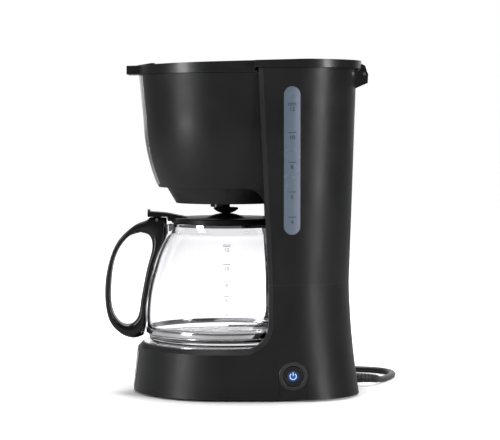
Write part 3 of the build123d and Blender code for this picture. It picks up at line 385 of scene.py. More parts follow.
class Wiring:
    """Short ways to add nodes to a tree."""

    def __init__(self, tree: bpy.types.NodeTree) -> None:
        """Keep the tree that the nodes go into."""
        self.tree = tree

    def put(self, socket: Socket, value: object) -> None:
        """Link a socket, or set its plain value.

        Args:
            socket: The input.
            value: What goes into it: another node's output, or a number, colour or vector.
        """
        if isinstance(value, Socket):
            self.tree.links.new(value, socket)
        else:
            socket.default_value = value

    def fill(self, node: bpy.types.Node, **inputs: object) -> None:
        """Fill a node's inputs by name, with an underscore for each space."""
        for key, value in inputs.items():
            self.put(node.inputs[key.replace("_", " ")], value)

    def node(self, kind: str, settings: dict | None = None, **inputs: object) -> bpy.types.Node:
        """Add a node.

        Args:
            kind: Its type.
            settings: Its properties by name.
            **inputs: Its inputs by name, as fill takes them.

        Returns:
            The node.
        """
        made = self.tree.nodes.new(kind)
        for key, value in (settings or {}).items():
            setattr(made, key, value)
        self.fill(made, **inputs)
        return made

    def math(self, operation: str, *values: object, clamp: bool = False) -> Socket:
        """Work out a number.

        Args:
            operation: Name of the operation.
            *values: One to three values.
            clamp: Whether the result is held between 0 and 1.

        Returns:
            The result.
        """
        made = self.tree.nodes.new("ShaderNodeMath")
        made.operation = operation
        made.use_clamp = clamp
        for socket, value in zip(made.inputs, values):
            self.put(socket, value)
        return made.outputs[0]

    def noise(self, vector: Socket, scale: object, detail: float, rough: float) -> Socket:
        """Value of a noise texture."""
        inputs = {"Vector": vector, "Scale": scale, "Detail": detail, "Roughness": rough}
        return self.node("ShaderNodeTexNoise", None, **inputs).outputs["Fac"]

    def mix(self, share: object, low: object, high: object) -> Socket:
        """Blend two colours.

        Args:
            share: Share of the second colour.
            low: First colour.
            high: Second colour.

        Returns:
            The blend.
        """
        made = self.tree.nodes.new("ShaderNodeMix")
        made.data_type = "RGBA"
        self.put(made.inputs[0], share)
        self.put(made.inputs[6], low)
        self.put(made.inputs[7], high)
        return made.outputs[2]

    def between(self, value: object, low: float, high: float, to_low: object, to_high: object) -> Socket:
        """Carry a value from one range to another.

        Args:
            value: The value.
            low: One end of the range that it comes from.
            high: The other end.
            to_low: What it becomes at the one end.
            to_high: What it becomes at the other.

        Returns:
            The new value, held inside its range.
        """
        made = self.tree.nodes.new("ShaderNodeMapRange")
        made.clamp = True
        for socket, number in zip(made.inputs, (value, low, high, to_low, to_high)):
            self.put(socket, number)
        return made.outputs[0]

    def mask(self, value: Socket, none: float, full: float) -> Socket:
        """Mask that is 0 up to one value and 1 past another."""
        return self.between(value, none, full, 0.0, 1.0)

    def about(self, noise: Socket, middle: float, spread: float) -> Socket:
        """Number that a noise, mostly 0.3 to 0.7, moves to both sides of a middle."""
        return self.between(noise, 0.3, 0.7, middle - spread, middle + spread)

    def toned(self, colour: tuple, tone: Socket) -> Socket:
        """Colour made lighter or darker by a factor."""
        made = self.node("ShaderNodeVectorMath", {"operation": "SCALE"}, Vector=colour[:3], Scale=tone)
        return made.outputs[0]

    def stretched(self, vector: Socket, scale: tuple) -> Socket:
        """Coordinates stretched by a factor on each axis."""
        return self.node("ShaderNodeMapping", None, Vector=vector, Scale=scale).outputs[0]


def moulded_effect() -> bpy.types.NodeTree:
    """Fine spark-eroded texture of a moulding: a height, and a slow unevenness of its gloss.

    Returns:
        The node group.
    """
    effect = Effect(
        "moulded_grain",
        {"Vector": ("NodeSocketVector", None), "Scale": ("NodeSocketFloat", 1800.0)},
        {"Height": "NodeSocketFloat", "Uneven": "NodeSocketFloat"},
    )
    wiring = effect.wiring
    vector, scale = effect.source["Vector"], effect.source["Scale"]
    fine = wiring.noise(vector, scale, detail=2.0, rough=0.6)
    wider = wiring.math("MULTIPLY", scale, 0.7)
    cells = wiring.node("ShaderNodeTexVoronoi", None, Vector=vector, Scale=wider)
    height = wiring.math("MULTIPLY_ADD", cells.outputs["Distance"], 0.6, fine)
    wiring.put(effect.result["Height"], height)
    wiring.put(effect.result["Uneven"], wiring.noise(vector, scale=28.0, detail=4.0, rough=0.55))
    return effect.tree


def edge_effect() -> bpy.types.NodeTree:
    """Mask of convex edges, broken up by noise, for the rubbed look of handled corners.

    Returns:
        The node group.
    """
    effect = Effect(
        "edge_wear",
        {"Vector": ("NodeSocketVector", None), "Radius": ("NodeSocketFloat", 0.0012)},
        {"Mask": "NodeSocketFloat"},
    )
    wiring = effect.wiring
    round_normal = wiring.node("ShaderNodeBevel", {"samples": 4}, Radius=effect.source["Radius"])
    flat_normal = wiring.tree.nodes.new("ShaderNodeNewGeometry").outputs["Normal"]
    facing = wiring.node("ShaderNodeVectorMath", {"operation": "DOT_PRODUCT"})
    wiring.put(facing.inputs[0], round_normal.outputs[0])
    wiring.put(facing.inputs[1], flat_normal)
    edge = wiring.mask(facing.outputs["Value"], none=0.995, full=0.86)
    patches = wiring.noise(effect.source["Vector"], scale=260.0, detail=4.0, rough=0.7)
    broken = wiring.between(patches, 0.42, 0.7, 0.15, 1.0)
    wiring.put(effect.result["Mask"], wiring.math("MULTIPLY", edge, broken))
    return effect.tree


def dust_effect() -> bpy.types.NodeTree:
    """Masks of the dust that settles on faces that look up, and of the smears that hands leave.

    Returns:
        The node group.
    """
    effect = Effect(
        "dust_and_smears",
        {"Vector": ("NodeSocketVector", None)},
        {"Dust": "NodeSocketFloat", "Smear": "NodeSocketFloat"},
    )
    wiring = effect.wiring
    vector = effect.source["Vector"]
    normal = wiring.tree.nodes.new("ShaderNodeNewGeometry").outputs["Normal"]
    up = wiring.node("ShaderNodeSeparateXYZ", None, Vector=normal).outputs["Z"]
    level = wiring.mask(up, none=0.4, full=1.0)
    specks = wiring.mask(wiring.noise(vector, scale=900.0, detail=2.0, rough=0.7), none=0.56, full=0.78)
    clouds = wiring.mask(wiring.noise(vector, scale=22.0, detail=3.0, rough=0.6), none=0.35, full=0.75)
    settled = wiring.math("MULTIPLY", specks, clouds)
    wiring.put(effect.result["Dust"], wiring.math("MULTIPLY", level, settled))
    wiped = wiring.stretched(vector, (1.0, 1.0, 0.35))
    smear = wiring.noise(wiped, scale=60.0, detail=5.0, rough=0.62)
    wiring.put(effect.result["Smear"], wiring.mask(smear, none=0.48, full=0.72))
    return effect.tree


def brushed_effect() -> bpy.types.NodeTree:
    """Long parallel scratches: a height and a mask, stretched along one axis by Direction.

    Returns:
        The node group.
    """
    effect = Effect(
        "brushing",
        {"Vector": ("NodeSocketVector", None), "Direction": ("NodeSocketVector", None)},
        {"Height": "NodeSocketFloat", "Streak": "NodeSocketFloat"},
    )
    wiring = effect.wiring
    drawn = wiring.node("ShaderNodeVectorMath", {"operation": "MULTIPLY"})
    wiring.put(drawn.inputs[0], effect.source["Vector"])
    wiring.put(drawn.inputs[1], effect.source["Direction"])
    fine = wiring.noise(drawn.outputs[0], scale=1.0, detail=4.0, rough=0.7)
    coarse = wiring.noise(drawn.outputs[0], scale=0.22, detail=2.0, rough=0.5)
    wiring.put(effect.result["Height"], fine)
    half_fine = wiring.math("MULTIPLY", fine, 0.5)
    wiring.put(effect.result["Streak"], wiring.math("MULTIPLY_ADD", coarse, 0.5, half_fine))
    return effect.tree


EFFECTS = {
    "grain": moulded_effect(),
    "edge": edge_effect(),
    "dust": dust_effect(),
    "brushing": brushed_effect(),
}


# --- finishes -----------------------------------------------------------------------------------
@dataclass(frozen=True)
class Finish:
    """What a piece is made of; its material is made once and shared."""

    name: str
    slot: Slot

    def material(self) -> bpy.types.Material:
        """Make the finish's material, or find it.

        Returns:
            The material.
        """
        made = bpy.data.materials.get(self.name)
        if made is None:
            made = bpy.data.materials.new(self.name)
            made.use_nodes = True
            self.wire(Wiring(made.node_tree), made.node_tree.nodes["Principled BSDF"])
        return made

    def wire(self, wiring: Wiring, shader: bpy.types.Node) -> None:
        """Wire the shader; every kind of finish does this in its own way.

        Args:
            wiring: Wiring of the material.
            shader: Its Principled shader.
        """
        raise NotImplementedError

    @staticmethod
    def place(wiring: Wiring) -> Socket:
        """Object coordinates."""
        return wiring.tree.nodes.new("ShaderNodeTexCoord").outputs["Object"]

    @staticmethod
    def effect(wiring: Wiring, name: str, **inputs: object) -> bpy.types.Node:
        """One of the shared effects, with this finish's own values."""
        return wiring.node("ShaderNodeGroup", {"node_tree": EFFECTS[name]}, **inputs)

    @staticmethod
    def bump(wiring: Wiring, height: Socket, strength: float, distance: float) -> Socket:
        """Normal of a surface raised by a height."""
        inputs = {"Height": height, "Strength": strength, "Distance": distance}
        return wiring.node("ShaderNodeBump", None, **inputs).outputs[0]


@dataclass(frozen=True)
class Moulding(Finish):
    """Moulded plastic, from matte grain to polished."""

    colour: tuple = (0.011, 0.011, 0.012, 1.0)
    roughness: float = 0.38
    spread: float = 0.05
    grain: float = 0.25
    scale: float = 1800.0
    worn: tuple = (0.05, 0.05, 0.053, 1.0)
    wear: float = 0.6
    dust: float = 0.25
    coat: float = 0.0
    shine: float = 0.35

    def wire(self, wiring: Wiring, shader: bpy.types.Node) -> None:
        """Grain in the surface, rubbed edges, settled dust and smears.

        Args:
            wiring: Wiring of the material.
            shader: Its Principled shader.
        """
        place = self.place(wiring)
        grain = self.effect(wiring, "grain", Vector=place, Scale=self.scale)
        edge = self.effect(wiring, "edge", Vector=place)
        dust = self.effect(wiring, "dust", Vector=place)
        fresh = wiring.toned(self.colour, wiring.about(grain.outputs["Uneven"], 1.0, 0.12))
        rub = wiring.math("MULTIPLY", edge.outputs["Mask"], self.wear)
        settled = wiring.math("MULTIPLY", dust.outputs["Dust"], self.dust)
        clean = wiring.about(grain.outputs["Uneven"], self.roughness, self.spread)
        wiring.fill(
            shader,
            Base_Color=wiring.mix(settled, wiring.mix(rub, fresh, self.worn), DUST),
            Roughness=wiring.math("MULTIPLY_ADD", dust.outputs["Smear"], self.spread, clean),
            Specular_IOR_Level=self.shine,
            Coat_Weight=self.coat,
            Coat_Roughness=0.08,
            Normal=self.bump(wiring, grain.outputs["Height"], strength=self.grain, distance=0.06 * MM),
        )


@dataclass(frozen=True)
class Metal(Finish):
    """Steel, brass or aluminium, brushed along one axis or polished."""

    colour: tuple = (0.62, 0.62, 0.63, 1.0)
    roughness: float = 0.22
    spread: float = 0.08
    direction: tuple = (900.0, 900.0, 9.0)
    depth: float = 0.2

    def wire(self, wiring: Wiring, shader: bpy.types.Node) -> None:
        """Streaks in tone, gloss and height, and smears over them.

        Args:
            wiring: Wiring of the material.
            shader: Its Principled shader.
        """
        place = self.place(wiring)
        brushing = self.effect(wiring, "brushing", Vector=place, Direction=self.direction)
        dust = self.effect(wiring, "dust", Vector=place)
        streak = brushing.outputs["Streak"]
        clean = wiring.about(streak, self.roughness, self.spread)
        wiring.fill(
            shader,
            Base_Color=wiring.toned(self.colour, wiring.about(streak, 0.98, 0.12)),
            Metallic=1.0,
            Roughness=wiring.math("MULTIPLY_ADD", dust.outputs["Smear"], self.spread, clean),
            Normal=self.bump(wiring, brushing.outputs["Height"], strength=self.depth, distance=0.02 * MM),
        )


@dataclass(frozen=True)
class ClearGlass(Finish):
    """Clear jug glass with a faint unevenness from blowing."""

    colour: tuple = (0.940, 0.936, 0.950, 1.0)

    def wire(self, wiring: Wiring, shader: bpy.types.Node) -> None:
        """Full transmission, and a slow ripple in the normal.

        Args:
            wiring: Wiring of the material.
            shader: Its Principled shader.
        """
        place = self.place(wiring)
        haze = wiring.noise(place, scale=40.0, detail=3.0, rough=0.6)
        upright = wiring.stretched(place, (1.0, 1.0, 0.4))
        ripple = wiring.noise(upright, scale=24.0, detail=1.0, rough=0.5)
        wiring.fill(
            shader,
            Base_Color=self.colour,
            Transmission_Weight=1.0,
            IOR=1.47,
            Roughness=wiring.between(haze, 0.4, 0.8, 0.0, 0.012),
            Normal=self.bump(wiring, ripple, strength=0.12, distance=0.6 * MM),
        )


@dataclass(frozen=True)
class SmokedPanel(Finish):
    """Bluish translucent plastic of the level window, with a painted highlight along its rear edge."""

    colour: tuple = (0.115, 0.155, 0.205, 1.0)
    # Colour of the painted highlight, and of the paler clouds.
    pale: tuple = (0.25, 0.27, 0.34, 1.0)
    rear_edge: float = 60.6 * MM

    def wire(self, wiring: Wiring, shader: bpy.types.Node) -> None:
        """Cloudy body colour, paler towards the rear edge as a painted highlight, with a gloss coat.

        Args:
            wiring: Wiring of the material.
            shader: Its Principled shader.
        """
        place = self.place(wiring)
        grain = self.effect(wiring, "grain", Vector=place, Scale=220.0)
        upright = wiring.stretched(place, (1.0, 1.0, 0.12))
        cloud = wiring.between(wiring.noise(upright, scale=45.0, detail=2.0, rough=0.5), 0.3, 0.8, -0.1, 0.4)
        across = wiring.node("ShaderNodeSeparateXYZ", None, Vector=place).outputs["Y"]
        # Painted highlight: the colour pales towards the pane's rear edge, on top of the clouds.
        edge = wiring.mask(across, none=self.rear_edge - 7.0 * MM, full=self.rear_edge - 1.5 * MM)
        light = wiring.math("MULTIPLY_ADD", edge, 0.75, cloud, clamp=True)
        wiring.fill(
            shader,
            Base_Color=wiring.mix(light, self.colour, self.pale),
            IOR=1.49,
            Roughness=wiring.about(grain.outputs["Uneven"], 0.23, 0.07),
            Coat_Weight=0.4,
            Coat_Roughness=0.1,
            Normal=self.bump(wiring, grain.outputs["Height"], strength=0.03, distance=0.04 * MM),
        )


@dataclass(frozen=True)
class Soft(Finish):
    """Rubber, silicone or a lead's sheath: low gloss, fine skin, some sheen."""

    colour: tuple = (0.016, 0.016, 0.017, 1.0)
    pale: tuple = (0.04, 0.04, 0.042, 1.0)
    roughness: float = 0.5

    def wire(self, wiring: Wiring, shader: bpy.types.Node) -> None:
        """Mottled colour, fine skin and dust.

        Args:
            wiring: Wiring of the material.
            shader: Its Principled shader.
        """
        place = self.place(wiring)
        grain = self.effect(wiring, "grain", Vector=place, Scale=1400.0)
        dust = self.effect(wiring, "dust", Vector=place)
        mottle = wiring.between(grain.outputs["Uneven"], 0.35, 0.75, 0.0, 0.6)
        skin = wiring.mix(mottle, self.colour, self.pale)
        settled = wiring.math("MULTIPLY", dust.outputs["Dust"], 0.3)
        wiring.fill(
            shader,
            Base_Color=wiring.mix(settled, skin, PALE_DUST),
            Roughness=wiring.about(grain.outputs["Uneven"], self.roughness, 0.07),
            Sheen_Weight=0.15,
            Normal=self.bump(wiring, grain.outputs["Height"], strength=0.2, distance=0.05 * MM),
        )


@dataclass(frozen=True)
class Weave(Finish):
    """Woven filter mesh."""

    thread: tuple = (0.33, 0.30, 0.22, 1.0)
    gap: tuple = (0.05, 0.045, 0.035, 1.0)
    pitch: float = 0.34 * MM

    def wire(self, wiring: Wiring, shader: bpy.types.Node) -> None:
        """Two crossed sets of threads: the greater of two waves, one along X and one along Z.

        Args:
            wiring: Wiring of the material.
            shader: Its Principled shader.
        """
        apart = wiring.node("ShaderNodeSeparateXYZ", None, Vector=self.place(wiring))
        waves = []
        for axis in ("X", "Z"):
            angle = wiring.math("MULTIPLY", apart.outputs[axis], 2 * math.pi / self.pitch)
            waves.append(wiring.math("ABSOLUTE", wiring.math("SINE", angle)))
        height = wiring.math("MAXIMUM", *waves)
        wiring.fill(
            shader,
            Base_Color=wiring.mix(wiring.mask(height, none=0.3, full=0.8), self.gap, self.thread),
            Roughness=0.55,
            Normal=self.bump(wiring, height, strength=0.5, distance=0.1 * MM),
        )


@dataclass(frozen=True)
class Lit(Finish):
    """Lit plastic: a steady glow over a coloured body."""

    colour: tuple = (0.3, 0.5, 0.9, 1.0)
    glow: float = 1.0
    centre: tuple = (0.0, 0.0, 0.0)
    reach: float = 6.0 * MM
    unlit: tuple = (0.01, 0.012, 0.02, 1.0)

    def wire(self, wiring: Wiring, shader: bpy.types.Node) -> None:
        """Glow that fades with the distance from the lamp behind it.

        Args:
            wiring: Wiring of the material.
            shader: Its Principled shader.
        """
        place = self.place(wiring)
        away = wiring.node("ShaderNodeVectorMath", {"operation": "DISTANCE"})
        wiring.put(away.inputs[0], place)
        wiring.put(away.inputs[1], self.centre)
        fade = wiring.between(away.outputs["Value"], 0.0, self.reach, 1.0, 0.0)
        haze = wiring.between(wiring.noise(place, scale=700.0, detail=2.0, rough=0.5), 0.3, 0.7, 0.85, 1.0)
        share = wiring.math("MULTIPLY", fade, haze)
        wiring.fill(
            shader,
            Base_Color=wiring.mix(share, self.unlit, self.colour),
            Emission_Color=wiring.mix(share, BLACK, self.colour),
            Emission_Strength=self.glow,
            Roughness=0.25,
        )


HOUSING = Moulding("housing_plastic", Slot.HOUSING)
INNER = Moulding("inner_plastic", Slot.HOUSING, colour=(0.018, 0.018, 0.019, 1.0), roughness=0.5)
GLOSS = Moulding(
    "polished_plastic", Slot.GLOSS, colour=(0.005, 0.005, 0.006, 1.0),
    roughness=0.22, spread=0.04, grain=0.05, scale=700.0, wear=0.25, coat=0.25, shine=0.4,
)
# Button bezel: its pale worn colour on the edges is partly rubbed wear and partly a painted highlight on the
# rims.
POLISHED = Moulding(
    "polished_button_plastic", Slot.GLOSS, colour=(0.012, 0.012, 0.013, 1.0), worn=(0.16, 0.16, 0.17, 1.0),
    roughness=0.14, spread=0.03, grain=0.02, scale=700.0, wear=0.9, dust=0.05, coat=0.6, shine=0.5,
)
SATIN = Moulding(
    "satin_plastic", Slot.GLOSS, colour=(0.006, 0.006, 0.007, 1.0),
    roughness=0.4, grain=0.1, scale=900.0, wear=0.2, shine=0.2,
)
LID_PLASTIC = Moulding(
    "lid_plastic", Slot.GLOSS, colour=(0.010, 0.010, 0.011, 1.0),
    roughness=0.3, spread=0.04, grain=0.05, dust=0.1, coat=0.1, shine=0.5,
)
TANK_PLASTIC = Moulding(
    "tank_plastic", Slot.TANK, colour=(0.05, 0.05, 0.053, 1.0), roughness=0.45, grain=0.15,
)
TRIM_STEEL = Metal("brushed_trim_steel", Slot.TRIM, roughness=0.27, depth=0.25)
BRIGHT_STEEL = Metal(
    "polished_steel", Slot.BRIGHT, colour=(0.78, 0.78, 0.79, 1.0),
    roughness=0.08, spread=0.03, direction=(300.0, 300.0, 900.0), depth=0.03,
)
PLATE_COATING = Moulding(
    "non_stick_coating", Slot.PLATE, colour=(0.010, 0.010, 0.011, 1.0), worn=(0.3, 0.3, 0.31, 1.0),
    roughness=0.34, spread=0.06, grain=0.3, scale=1200.0, wear=0.5, dust=0.1, shine=0.4,
)
BRASS = Metal(
    "nickelled_brass", Slot.PIN, colour=(0.66, 0.6, 0.47, 1.0),
    roughness=0.2, direction=(900.0, 60.0, 900.0),
)
CAST = Metal(
    "cast_aluminium", Slot.CAST, colour=(0.5, 0.5, 0.5, 1.0),
    roughness=0.5, direction=(700.0, 700.0, 700.0), depth=0.8,
)
GLASS = ClearGlass("jug_glass", Slot.GLASS)
SMOKE = SmokedPanel("gauge_panel", Slot.GAUGE)
RUBBER = Soft("black_rubber", Slot.RUBBER)
SHEATH = Soft(
    "lead_sheath", Slot.SHEATH, colour=(0.010, 0.010, 0.011, 1.0), pale=(0.022, 0.022, 0.023, 1.0),
    roughness=0.36,
)
SILICONE = Soft(
    "milky_silicone", Slot.SILICONE, colour=(0.5, 0.5, 0.48, 1.0), pale=(0.62, 0.62, 0.6, 1.0),
    roughness=0.4,
)
WIRE = Soft(
    "wire_insulation", Slot.WIRE, colour=(0.16, 0.07, 0.3, 1.0), pale=(0.22, 0.12, 0.38, 1.0),
    roughness=0.4,
)
FILTER_WEAVE = Weave("filter_weave", Slot.MESH)
DARK_INK = Moulding(
    "dark_print", Slot.GAUGE, colour=(0.012, 0.02, 0.04, 1.0), roughness=0.5, wear=0.0, dust=0.0,
)
GREY_INK = Moulding(
    "grey_print", Slot.GLASS, colour=(0.10, 0.10, 0.11, 1.0), roughness=0.6, wear=0.0, dust=0.0,
)


# --- sub-assemblies -----------------------------------------------------------------------------
class NodeFinishes:
    """Pieces that keep their CAD shape, by finish."""

    PIECES = {
        HOUSING: ["hinge_brackets"],
        INNER: ["base_plate", "filter_basket", "drip_stop_retainer", "lid_liner"],
        GLOSS: ["filter_frame", "drip_stop_valve", "switch_body"],
        TANK_PLASTIC: ["water_tank", "riser_tube", "spray_head", "check_valve_cage", "terminal_block"],
        BRIGHT_STEEL: [
            "base_screws", "seam_screws", "handle_screws", "heater_bracket", "heater_stud", "hose_clamps",
            "check_valve_ball", "drip_stop_spring", "button_spring", "lid_hinge_pin", "carafe_lid_pin",
        ],
        PLATE_COATING: ["warming_plate"],
        BRASS: ["thermostat", "plug_pins"],
        CAST: ["heater_element"],
        RUBBER: ["rubber_feet", "cord_tie"],
        SILICONE: ["cold_water_hose", "hot_water_hose", "tank_outlet_seal", "drip_stop_seal"],
        WIRE: ["thermal_fuses", "inner_wires"],
        FILTER_WEAVE: ["filter_mesh"],
    }

    def build(self) -> None:
        """Dress them all."""
        for finish, nodes in self.PIECES.items():
            for node in nodes:
                finish_node(node, finish)


@dataclass
class Housing:
    """Base, tower and basket housing with their steel strips, and the ring round the warming plate."""

    edge: float = 0.9 * MM
    steel_edge: float = 0.2 * MM

    def build(self) -> None:
        """Round the edges of both mouldings and of the steel pieces."""
        for node in ("lower_housing", "upper_housing"):
            dress(copy_of(node, node + "_skin", self.edge), HOUSING, Body.MACHINE, node)
        for node in ("basket_front_trim", "base_front_trim"):
            strip = copy_of(node, node + "_strip", self.steel_edge, segments=2)
            dress(strip, TRIM_STEEL, Body.MACHINE, node)
        ring = copy_of("plate_trim_ring", "plate_ring", self.steel_edge)
        dress(ring, BRIGHT_STEEL, Body.MACHINE, "plate_trim_ring")


@dataclass
class Lid:
    """Top lid."""

    edge: float = 1.0 * MM

    def build(self) -> None:
        """Round the lid's rim."""
        dress(copy_of("top_lid", "top_lid_shell", self.edge), LID_PLASTIC, Body.LID, "top_lid")


def printed(name: str, text: str, size: float) -> np.ndarray:
    """Outline triangles of a short text, as a flat mesh whose middle is at (0, 0).

    Args:
        name: Name for the text while it is made.
        text: Numbers to print.
        size: Height of a line of text, in metres.

    Returns:
        Points as (across, up) and the faces, as a pair.
    """
    curve = bpy.data.curves.new(name, "FONT")
    curve.body = text
    curve.size = size
    curve.align_x = "CENTER"
    curve.align_y = "CENTER"
    holder = bpy.data.objects.new(name, curve)
    bpy.context.scene.collection.objects.link(holder)
    bpy.context.view_layer.update()
    graph = bpy.context.evaluated_depsgraph_get()
    mesh = bpy.data.meshes.new_from_object(holder.evaluated_get(graph))
    points = np.zeros(len(mesh.vertices) * 3)
    mesh.vertices.foreach_get("co", points)
    faces = [list(face.vertices) for face in mesh.polygons]
    bpy.data.objects.remove(holder)
    bpy.data.curves.remove(curve)
    bpy.data.meshes.remove(mesh)
    return points.reshape(-1, 3)[:, :2], faces


@dataclass
class Marks:
    """A scale of cups on an upright surface that faces +X: under every stroke its number."""

    name: str
    heights: tuple            # of the numbers, from the top one down
    middle: float
    size: float               # of the numbers
    stroke: float             # length of the strokes
    depth: float = 0.12 * MM

    CUPS = (12, 10, 8, 6, 4)
    ABOVE = (0.9,)            # places of a stroke's middle above its number, in heights of a number
    ABOVE_FIRST = (0.75, 1.05)
    HALF_THICK = 0.05         # of a stroke

    def flat(self) -> tuple:
        """Lay out the whole scale.

        Returns:
            All its outlines as (y, z) points, and their faces.
        """
        points: list = []
        faces: list = []
        half, thick = self.stroke / 2, self.HALF_THICK * self.size
        bar = np.array([[-half, -thick], [half, -thick], [half, thick], [-half, thick]])
        for cups, height in zip(self.CUPS, self.heights):
            glyphs, shapes = printed(self.name, str(cups), self.size)
            self.add(points, faces, glyphs + [self.middle, height], shapes)
            for above in self.ABOVE_FIRST if cups == self.CUPS[0] else self.ABOVE:
                level = height + above * self.size
                self.add(points, faces, bar + [self.middle, level], [[0, 1, 2, 3]])
        return np.vstack(points), faces

    @staticmethod
    def add(points: list, faces: list, more: np.ndarray, shapes: list) -> None:
        """Add one outline to the scale's lists.

        Args:
            points: Arrays of points so far.
            faces: Faces so far.
            more: Points of the outline.
            shapes: Its faces, counted from its own first point.
        """
        start = sum(len(part) for part in points)
        points.append(more)
        faces.extend([start + number for number in shape] for shape in shapes)

    def on(self, x_of: object) -> bpy.types.Object:
        """Lay the scale on a surface.

        Args:
            x_of: Function that gives the surface's x from arrays of y and z.

        Returns:
            The scale as one thin solid piece.
        """
        flat, faces = self.flat()
        y, z = flat[:, 0], flat[:, 1]
        piece = mesh_object(self.name, np.stack([x_of(y, z), y, z], axis=-1), faces)
        solid = piece.modifiers.new("ink", "SOLIDIFY")
        solid.thickness = self.depth
        solid.offset = 0.0
        return piece


@dataclass
class Gauge:
    """Level window in the right-hand side of the tower, with its numbers."""

    seam: tuple = (85.5 * MM, 107.3 * MM)    # half width of the tower and height, at its seam
    top: tuple = (88.0 * MM, 306.0 * MM)     # and at its top
    inset: float = 0.3 * MM
    edge: float = 0.25 * MM
    steps: tuple = (0.845, 0.655, 0.455, 0.255, 0.085)    # of the numbers, as shares of its height
    size: float = 5.2 * MM
    stroke: float = 7.5 * MM

    def x_of(self, y: np.ndarray, z: np.ndarray) -> np.ndarray:
        """The window's outer face: a plane that leans outwards with the tower.

        Args:
            y: Array of y.
            z: Array of z.

        Returns:
            Array of x.
        """
        share = (z - self.seam[1]) / (self.top[1] - self.seam[1])
        return self.seam[0] + (self.top[0] - self.seam[0]) * share - self.inset + 0 * y

    def build(self) -> None:
        """The window and its scale."""
        low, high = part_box("gauge_window")
        pane = copy_of("gauge_window", "gauge_pane", self.edge, segments=2)
        dress(pane, SMOKE, Body.MACHINE, "gauge_window")
        heights = tuple(low.z + (high.z - low.z) * step for step in self.steps)
        scale = Marks("gauge_scale", heights, (low.y + high.y) / 2, self.size, self.stroke)
        dress(scale.on(self.x_of), DARK_INK, Body.MACHINE)


@dataclass
class PowerButton:
    """Push button with a lit sign."""

    centre: tuple = (54.0 * MM, 23.8 * MM)
    face: float = 87.4 * MM
    radius: float = 2.9 * MM
    line: float = 0.42 * MM
    opening: float = 38.0     # degrees left open at the top of the ring, on each side
    steps: int = 48
    depth: float = 0.15 * MM

    def sign(self) -> bpy.types.Object:
        """Ring with a stroke in its opening: a band of constant width about an arc, and a bar.

        Returns:
            The sign as one thin solid piece.
        """
        angle = np.radians(np.linspace(90 + self.opening, 450 - self.opening, self.steps))
        across, up = np.cos(angle), np.sin(angle)
        inner, outer = self.radius - self.line, self.radius + self.line
        sides = [np.stack([radius * across, radius * up], axis=-1) for radius in (inner, outer)]
        ring = np.stack(sides, axis=1).reshape(-1, 2)
        faces = face_grid(self.steps, 2, False, False)
        half, low, high = self.line, 0.2 * self.radius, 1.35 * self.radius
        bar = np.array([[-half, low], [half, low], [half, high], [-half, high]])
        flat = np.vstack([ring, bar])
        start = len(ring)
        faces.append([start, start + 1, start + 2, start + 3])
        y, z = flat[:, 0] + self.centre[0], flat[:, 1] + self.centre[1]
        piece = mesh_object("power_sign", np.stack([np.full(len(y), self.face), y, z], axis=-1), faces)
        solid = piece.modifiers.new("thickness", "SOLIDIFY")
        solid.thickness = self.depth
        solid.offset = 0.0
        return piece

    def build(self) -> None:
        """Bezel, cap, lens and sign."""
        dress(copy_of("button_bezel", "button_ring", 0.5 * MM), POLISHED, Body.MACHINE, "button_bezel")
        dress(copy_of("power_button", "button_cap", 0.35 * MM), GLOSS, Body.BUTTON, "power_button")
        lamp = (self.face, *self.centre)
        lens = Lit(
            "lit_lens", Slot.LENS, colour=(0.05, 0.12, 0.45, 1.0), glow=0.16, centre=lamp, reach=6.0 * MM,
        )
        dress(copy_of("button_lens", "lens_cap", 0.2 * MM), lens, Body.BUTTON, "button_lens")
        bright = Lit(
            "lit_sign", Slot.LENS, colour=(0.45, 0.68, 1.0, 1.0), glow=0.9, centre=lamp, reach=14.0 * MM,
        )
        dress(self.sign(), bright, Body.BUTTON)


def cut_out(piece: bpy.types.Object, low: np.ndarray, high: np.ndarray) -> None:
    """Cut a box out of a piece for good.

    Args:
        piece: The piece that is cut.
        low: Least corner of the box, in metres.
        high: Greatest corner of the box.
    """
    corners = np.stack(np.meshgrid(*zip(low, high), indexing="ij"), axis=-1).reshape(-1, 3)
    sides = [[0, 1, 3, 2], [4, 6, 7, 5], [0, 4, 5, 1], [2, 3, 7, 6], [0, 2, 6, 4], [1, 5, 7, 3]]
    cutter = mesh_object("cutter", corners, sides)
    boolean = piece.modifiers.new("slot", "BOOLEAN")
    boolean.operation = "DIFFERENCE"
    boolean.solver = "EXACT"
    boolean.object = cutter
    bpy.context.view_layer.update()
    graph = bpy.context.evaluated_depsgraph_get()
    result = bpy.data.meshes.new_from_object(piece.evaluated_get(graph))
    piece.modifiers.clear()
    piece.data = result
    bpy.data.objects.remove(cutter)


